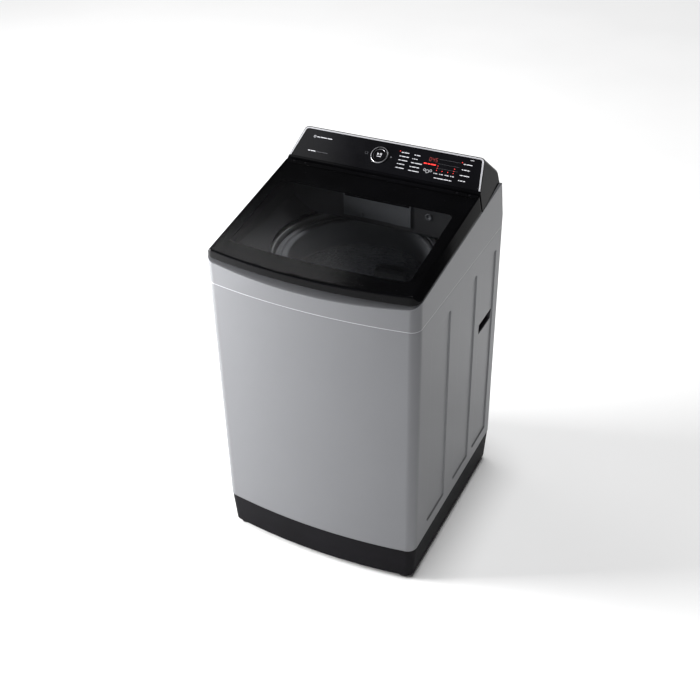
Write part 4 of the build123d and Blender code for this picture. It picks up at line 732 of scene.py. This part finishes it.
    def height_over_panel(self, node: str) -> float:
        """How far a CAD node stands out of the panel, in millimetres."""
        corners = (vertex.co for vertex in frame["nodes"][node].data.vertices)
        return max((corner - self.origin).dot(self.out) for corner in corners) / MM

    def build_key_mark(self) -> None:
        """Start and pause mark printed on the key; it travels with the key."""
        lift = self.height_over_panel("start_key") + 0.02
        x, s = self.dial_across_mm, self.dial_up_mm
        low, high = s - 1.0, s + 5.4
        mesh = bmesh.new()
        self.add_shape(mesh, [(x - 6.0, low), (x - 0.6, (low + high) / 2), (x - 6.0, high)], lift)
        for start in (x + 1.6, x + 4.4):
            end = start + 1.5
            self.add_shape(mesh, [(start, low), (end, low), (end, high), (start, high)], lift)
        under_low, under_high = s - 5.2, s - 3.6
        self.add_shape(mesh, [(x - 6.0, under_low), (x + 6.0, under_low),
                              (x + 6.0, under_high), (x - 6.0, under_high)], lift)
        self.ride_print("key_mark", mesh, SCREEN_PRINT_WHITE, "key")

    def build(self) -> None:
        """Dress the console and print its panel."""
        dress({"console_housing": PIANO_BLACK_ABS, "control_fascia": PRINTED_ACRYLIC,
               "console_trim": SATIN_CHROME, "dial_ring": SATIN_CHROME, "start_key": PRINTED_ACRYLIC,
               "control_board": SOLDER_RESIST, "dial_encoder": MOULDED_ACETAL})
        self.build_labels()
        self.build_symbols()
        self.build_display()
        self.build_digits()
        self.build_ring_face()
        self.build_key_mark()


# --------------------------------------------------------------------- drawer
@dataclass
class Drawer:
    """Detergent drawer and the water box it slides into."""

    strip_height_mm: float = 5.0
    strip_proud_mm: float = 0.8
    strip_inset_mm: float = 4.0
    strip_below_top_mm: float = 0.6
    strip_soft_mm: float = 0.5
    strip_root_mm: float = 0.1

    def build_dark_top_strip(self) -> None:
        """Dark strip along the top of the drawer's front, with softened long edges."""
        low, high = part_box("detergent_drawer")
        front = low.y
        proud = self.strip_proud_mm * MM
        half = high.x - self.strip_inset_mm * MM
        top = high.z - self.strip_below_top_mm * MM
        bottom = top - self.strip_height_mm * MM
        soft = self.strip_soft_mm * MM
        root = front + self.strip_root_mm * MM
        face = front - proud
        profile = [(root, bottom), (face + soft, bottom), (face, bottom + soft),
                   (face, top - soft), (face + soft, top), (root, top)]
        mesh = bmesh.new()
        ends = [[mesh.verts.new((side * half, y, z)) for y, z in profile] for side in (-1, 1)]
        for index in range(len(profile)):
            after = (index + 1) % len(profile)
            mesh.faces.new((ends[0][index], ends[0][after], ends[1][after], ends[1][index]))
        mesh.faces.new(ends[0])
        mesh.faces.new(list(reversed(ends[1])))
        # a dark band along the top of the drawer's front, in the black plastic finish
        strip = new_piece("drawer_dark_top_strip", mesh, TEXTURED_PP_BLACK, smooth=False)
        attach(strip, "drawer")

    def build(self) -> None:
        """Dress the drawer and add its strip."""
        dress({"drawer_housing": MOULDED_ABS_GREY, "detergent_drawer": MOULDED_ABS_GREY,
               "softener_cap": MOULDED_ACETAL})
        self.build_dark_top_strip()


# ------------------------------------------------------------- tub and springs
@dataclass
class Tub:
    """Outer tub with the soft pieces between it and the cabinet."""

    spring_turns: int = 6
    spring_wire_mm: float = 3.5
    spring_radius_mm: float = 17.0
    spring_steps: int = 28
    pleat_depth_mm: float = 4.2
    pleats: int = 9
    bellows_wall_mm: float = 6.5
    cuff_height_mm: float = 9.0
    cuff_inset_mm: float = 1.5
    tube_wall_mm: float = 1.5
    tube_ridge_mm: float = 0.15
    tube_steps: int = 40

    def soft_piece(self, piece: bpy.types.Object, node: str) -> None:
        """Bake a piece's place into its mesh, in place of a CAD node, which is hidden."""
        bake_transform(piece)
        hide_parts(node)

    def build_springs(self) -> None:
        """Four coil springs with closed ends, in place of their outer shape."""
        low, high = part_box("suspension_springs")
        wire = self.spring_wire_mm * MM / 2
        coil = self.spring_radius_mm * MM
        centre_x = high.x - coil
        centre_y = high.y - coil
        steps = self.spring_turns * self.spring_steps
        closed = 0.5 / self.spring_turns
        mesh = bmesh.new()
        for x in (-centre_x, centre_x):
            for y in (-centre_y, centre_y):
                points = []
                for step in range(steps + 1):
                    share = step / steps
                    climb = min(max((share - closed) / (1 - 2 * closed), 0.0), 1.0)
                    angle = FULL_TURN * self.spring_turns * share
                    height = low.z + wire + (high.z - low.z - 2 * wire) * climb
                    points.append(Vector((x + (coil - wire) * math.cos(angle),
                                          y + (coil - wire) * math.sin(angle), height)))
                add_tube(mesh, points, wire)
        piece = new_piece("suspension_coils", mesh, TURNED_STEEL)
        self.soft_piece(piece, "suspension_springs")

    def build_bellows(self) -> None:
        """Pleated drain hose between the tub and the pump."""
        low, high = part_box("drain_bellows")
        centre, radius = centre_and_radius("drain_bellows")
        bore = radius - self.bellows_wall_mm * MM
        cuff = self.cuff_height_mm * MM
        cuff_radius = radius - self.cuff_inset_mm * MM
        height = high.z - low.z
        steps = self.pleats * 8
        profile = [(bore, 0.0), (cuff_radius, 0.0), (cuff_radius, cuff)]
        for step in range(steps + 1):
            share = step / steps
            wave = 0.5 - 0.5 * math.cos(FULL_TURN * self.pleats * share)
            profile.append((radius - self.pleat_depth_mm * MM * (1 - wave),
                            cuff + (height - 2 * cuff) * share))
        profile += [(cuff_radius, height - cuff), (cuff_radius, height), (bore, height)]
        mesh = bmesh.new()
        add_lathe(mesh, profile, Vector((centre.x, centre.y, low.z)))
        piece = new_piece("pleated_drain_hose", mesh, NITRILE_RUBBER)
        self.soft_piece(piece, "drain_bellows")

    def build_level_tube(self) -> None:
        """Soft air tube up to the level sensor."""
        low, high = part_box("level_tube")
        centre, radius = centre_and_radius("level_tube")
        bore = radius - self.tube_wall_mm * MM
        height = high.z - low.z
        outer = [(radius - self.tube_ridge_mm * MM * (step % 2), height * step / self.tube_steps)
                 for step in range(self.tube_steps + 1)]
        mesh = bmesh.new()
        add_lathe(mesh, [(bore, 0.0), *outer, (bore, height)], Vector((centre.x, centre.y, low.z)), 24)
        piece = new_piece("air_tube", mesh, NITRILE_RUBBER)
        self.soft_piece(piece, "level_tube")

    def build(self) -> None:
        """Dress the tub and build its soft pieces."""
        dress({"outer_tub": MOULDED_PP_WHITE, "tub_ring": MOULDED_PP_WHITE,
               "drain_spigot": NITRILE_RUBBER})
        self.build_springs()
        self.build_bellows()
        self.build_level_tube()


# ----------------------------------------------------------------------- drum
@dataclass
class Drum:
    """Stainless basket with its pressed studs, balance ring and pulsator."""

    stud_width_mm: float = 9.0
    stud_height_mm: float = 13.0
    stud_proud_mm: float = 2.6
    stud_columns: int = 44
    stud_rows: int = 13
    stud_pitch_mm: float = 17.0
    filter_half_angle_deg: float = 14.0
    filter_margin_mm: float = 12.0
    sheet_mm: float = 1.25
    first_row_mm: float = 55.0

    def build_studs(self) -> None:
        """Diamond studs pressed into the lower wall, in staggered rows."""
        low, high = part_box("basket_shell")
        wall = high.x - self.sheet_mm * MM
        start = low.z + self.first_row_mm * MM
        filter_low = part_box("lint_filters")[0].z
        mesh = bmesh.new()
        for row in range(self.stud_rows):
            z = start + row * self.stud_pitch_mm * MM
            for column in range(self.stud_columns):
                angle = FULL_TURN * (column + 0.5 * (row % 2)) / self.stud_columns
                from_filter = abs(math.degrees(math.asin(math.cos(angle))))
                beside_filter = z > filter_low - self.filter_margin_mm * MM
                if beside_filter and from_filter < self.filter_half_angle_deg:
                    continue
                self.add_stud(mesh, wall, angle, z)
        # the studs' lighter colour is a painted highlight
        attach(new_piece("drum_studs", mesh, STUD_STAINLESS_HIGHLIGHTED, smooth=False), "drum")

    def add_stud(self, mesh: bmesh.types.BMesh, wall: float, angle: float, z: float) -> None:
        """Add one low four sided stud with a flat top to the drum's wall."""
        half_angle = self.stud_width_mm * MM / 2 / wall
        half_height = self.stud_height_mm * MM / 2
        rings = []
        for share, proud in ((1.0, -0.0001), (0.72, self.stud_proud_mm * MM * 0.7),
                             (0.2, self.stud_proud_mm * MM)):
            ring = []
            for turn, rise in ((1, 0), (0, 1), (-1, 0), (0, -1)):
                at = angle + turn * half_angle * share
                radius = wall - proud
                ring.append(mesh.verts.new((radius * math.cos(at), radius * math.sin(at),
                                            z + rise * half_height * share)))
            rings.append(ring)
        for ring, following in zip(rings, rings[1:]):
            for index in range(4):
                after = (index + 1) % 4
                mesh.faces.new((ring[index], ring[after], following[after], following[index]))
        mesh.faces.new(rings[-1])
        mesh.faces.new(list(reversed(rings[0])))

    def build(self) -> None:
        """Dress the drum and press its studs."""
        dress({"basket_shell": ROLLED_STAINLESS, "balance_ring": MOULDED_PP_GREY,
               "basket_base": MOULDED_PP_GREY, "basket_hub": DIE_CAST_ALUMINIUM,
               "spin_shaft": TURNED_STEEL, "shaft_bushes": SINTERED_BRONZE,
               # lint filters lightened as painted light against the drum's shade
               "lint_filters": FILTER_PP_WHITE,
               "pulsator": MOULDED_PP_GREY, "pulsator_screw": TURNED_STEEL, "wash_shaft": TURNED_STEEL})
        self.build_studs()


# ------------------------------------------------------------- drive and pump
@dataclass
class Drive:
    """Gearcase, motor and drain pump."""

    def build(self) -> None:
        """Dress the drive and the pump."""
        dress({"drive_bracket": GALVANISED_STEEL, "gearcase": DIE_CAST_ALUMINIUM,
               "main_bearings": TURNED_STEEL, "stator_core": GALVANISED_STEEL,
               "stator_coils": ENAMELLED_COPPER, "clutch_actuator": MOULDED_ACETAL,
               "rotor_cup": GALVANISED_STEEL, "rotor_magnets": SINTERED_FERRITE,
               "pump_housing": MOULDED_ACETAL, "pump_motor": TURNED_STEEL,
               "pump_impeller": TEXTURED_PP_BLACK, "drain_outlet": TEXTURED_PP_BLACK})


# --------------------------------------------------------------------- studio
@dataclass(frozen=True)
class Softbox:
    """A soft rectangular light: its middle, what it faces, its sides and its power."""

    name: str
    place: tuple[float, float, float]
    target: tuple[float, float, float]
    size: tuple[float, float]
    watts: float


@dataclass
class Studio:
    """Pale floor, soft lights and the three quarter view from above."""

    camera_place: tuple[float, float, float] = (1.0176, -2.0789, 2.1083)
    yaw_deg: float = 26.72
    pitch_deg: float = -35.02
    roll_deg: float = -1.22
    lens_mm: float = 56.19
    floor_half: float = 30.0
    overhead_strength: float = 2.4
    overhead_spread_deg: float = 18.0
    surround_strength: float = 0.05
    surround_colour: str = "#F2F3F5"
    softboxes: tuple[Softbox, ...] = (
        Softbox("key_softbox", (-3.2, -1.35, 1.1), (0, 0, 0.5), (1.5, 2.4), 400.0),
        Softbox("high_softbox", (-2.6, 0.5, 3.7), (-2.6, 0.5, 0.0), (2.3, 3.2), 40.0),
        Softbox("front_softbox", (0.2, -3.6, 1.3), (0, 0, 0.45), (2.0, 1.6), 10.0),
    )

    def build_floor(self) -> None:
        """A wide flat floor under the feet."""
        mesh = bmesh.new()
        bmesh.ops.create_grid(mesh, x_segments=12, y_segments=12, size=self.floor_half)
        data = bpy.data.meshes.new("studio_floor")
        mesh.to_mesh(data)
        mesh.free()
        data.materials.append(STUDIO_FLOOR.material())
        floor = bpy.data.objects.new("studio_floor", data)
        bpy.context.scene.collection.objects.link(floor)

    def add_softbox(self, box: Softbox) -> None:
        """Add a soft rectangular light that faces its target."""
        light = bpy.data.lights.new(box.name, "AREA")
        light.shape = "RECTANGLE"
        light.size, light.size_y = box.size
        light.energy = box.watts
        lamp = bpy.data.objects.new(box.name, light)
        lamp.location = box.place
        aim = Vector(box.target) - Vector(box.place)
        lamp.rotation_euler = aim.to_track_quat("-Z", "Y").to_euler()
        bpy.context.scene.collection.objects.link(lamp)

    def add_overhead(self) -> None:
        """Even light straight from above, spread enough for soft shadows."""
        light = bpy.data.lights.new("overhead_light", "SUN")
        light.energy = self.overhead_strength
        light.angle = math.radians(self.overhead_spread_deg)
        lamp = bpy.data.objects.new("overhead_light", light)
        bpy.context.scene.collection.objects.link(lamp)

    def build_lights(self) -> None:
        """The softboxes, an even overhead and a dim surround."""
        for box in self.softboxes:
            self.add_softbox(box)
        self.add_overhead()
        world = bpy.data.worlds.new("pale_surround")
        world.use_nodes = True
        surround = world.node_tree.nodes["Background"]
        surround.inputs["Color"].default_value = linear(self.surround_colour)
        surround.inputs["Strength"].default_value = self.surround_strength
        bpy.context.scene.world = world

    def build_camera(self) -> None:
        """Camera above the right front corner."""
        yaw, pitch, roll = (math.radians(a) for a in (self.yaw_deg, self.pitch_deg, self.roll_deg))
        ahead = Vector((-math.sin(yaw) * math.cos(pitch), math.cos(yaw) * math.cos(pitch),
                        math.sin(pitch)))
        level = Vector((math.cos(yaw), math.sin(yaw), 0.0))
        over = level.cross(ahead)
        right = level * math.cos(roll) + over * math.sin(roll)
        up = over * math.cos(roll) - level * math.sin(roll)
        turn = Matrix((right, up, -ahead)).transposed()
        data = bpy.data.cameras.new("studio_camera")
        data.lens = self.lens_mm
        camera = bpy.data.objects.new("studio_camera", data)
        camera.matrix_world = Matrix.Translation(self.camera_place) @ turn.to_4x4()
        bpy.context.scene.collection.objects.link(camera)
        bpy.context.scene.camera = camera

    def build(self) -> None:
        """Set up the floor, the lights and the camera."""
        self.build_floor()
        self.build_lights()
        self.build_camera()
        bpy.context.scene.view_settings.view_transform = "Standard"


def main() -> None:
    """Build the sub-assemblies in order."""
    logging.basicConfig(level=logging.INFO, format="%(name)s: %(message)s")
    for assembly in (Cabinet(), Lid(), Console(), Drawer(), Tub(), Drum(), Drive(), Studio()):
        LOG.info("building %s", type(assembly).__name__)
        assembly.build()


if __name__ == "__main__":
    main()
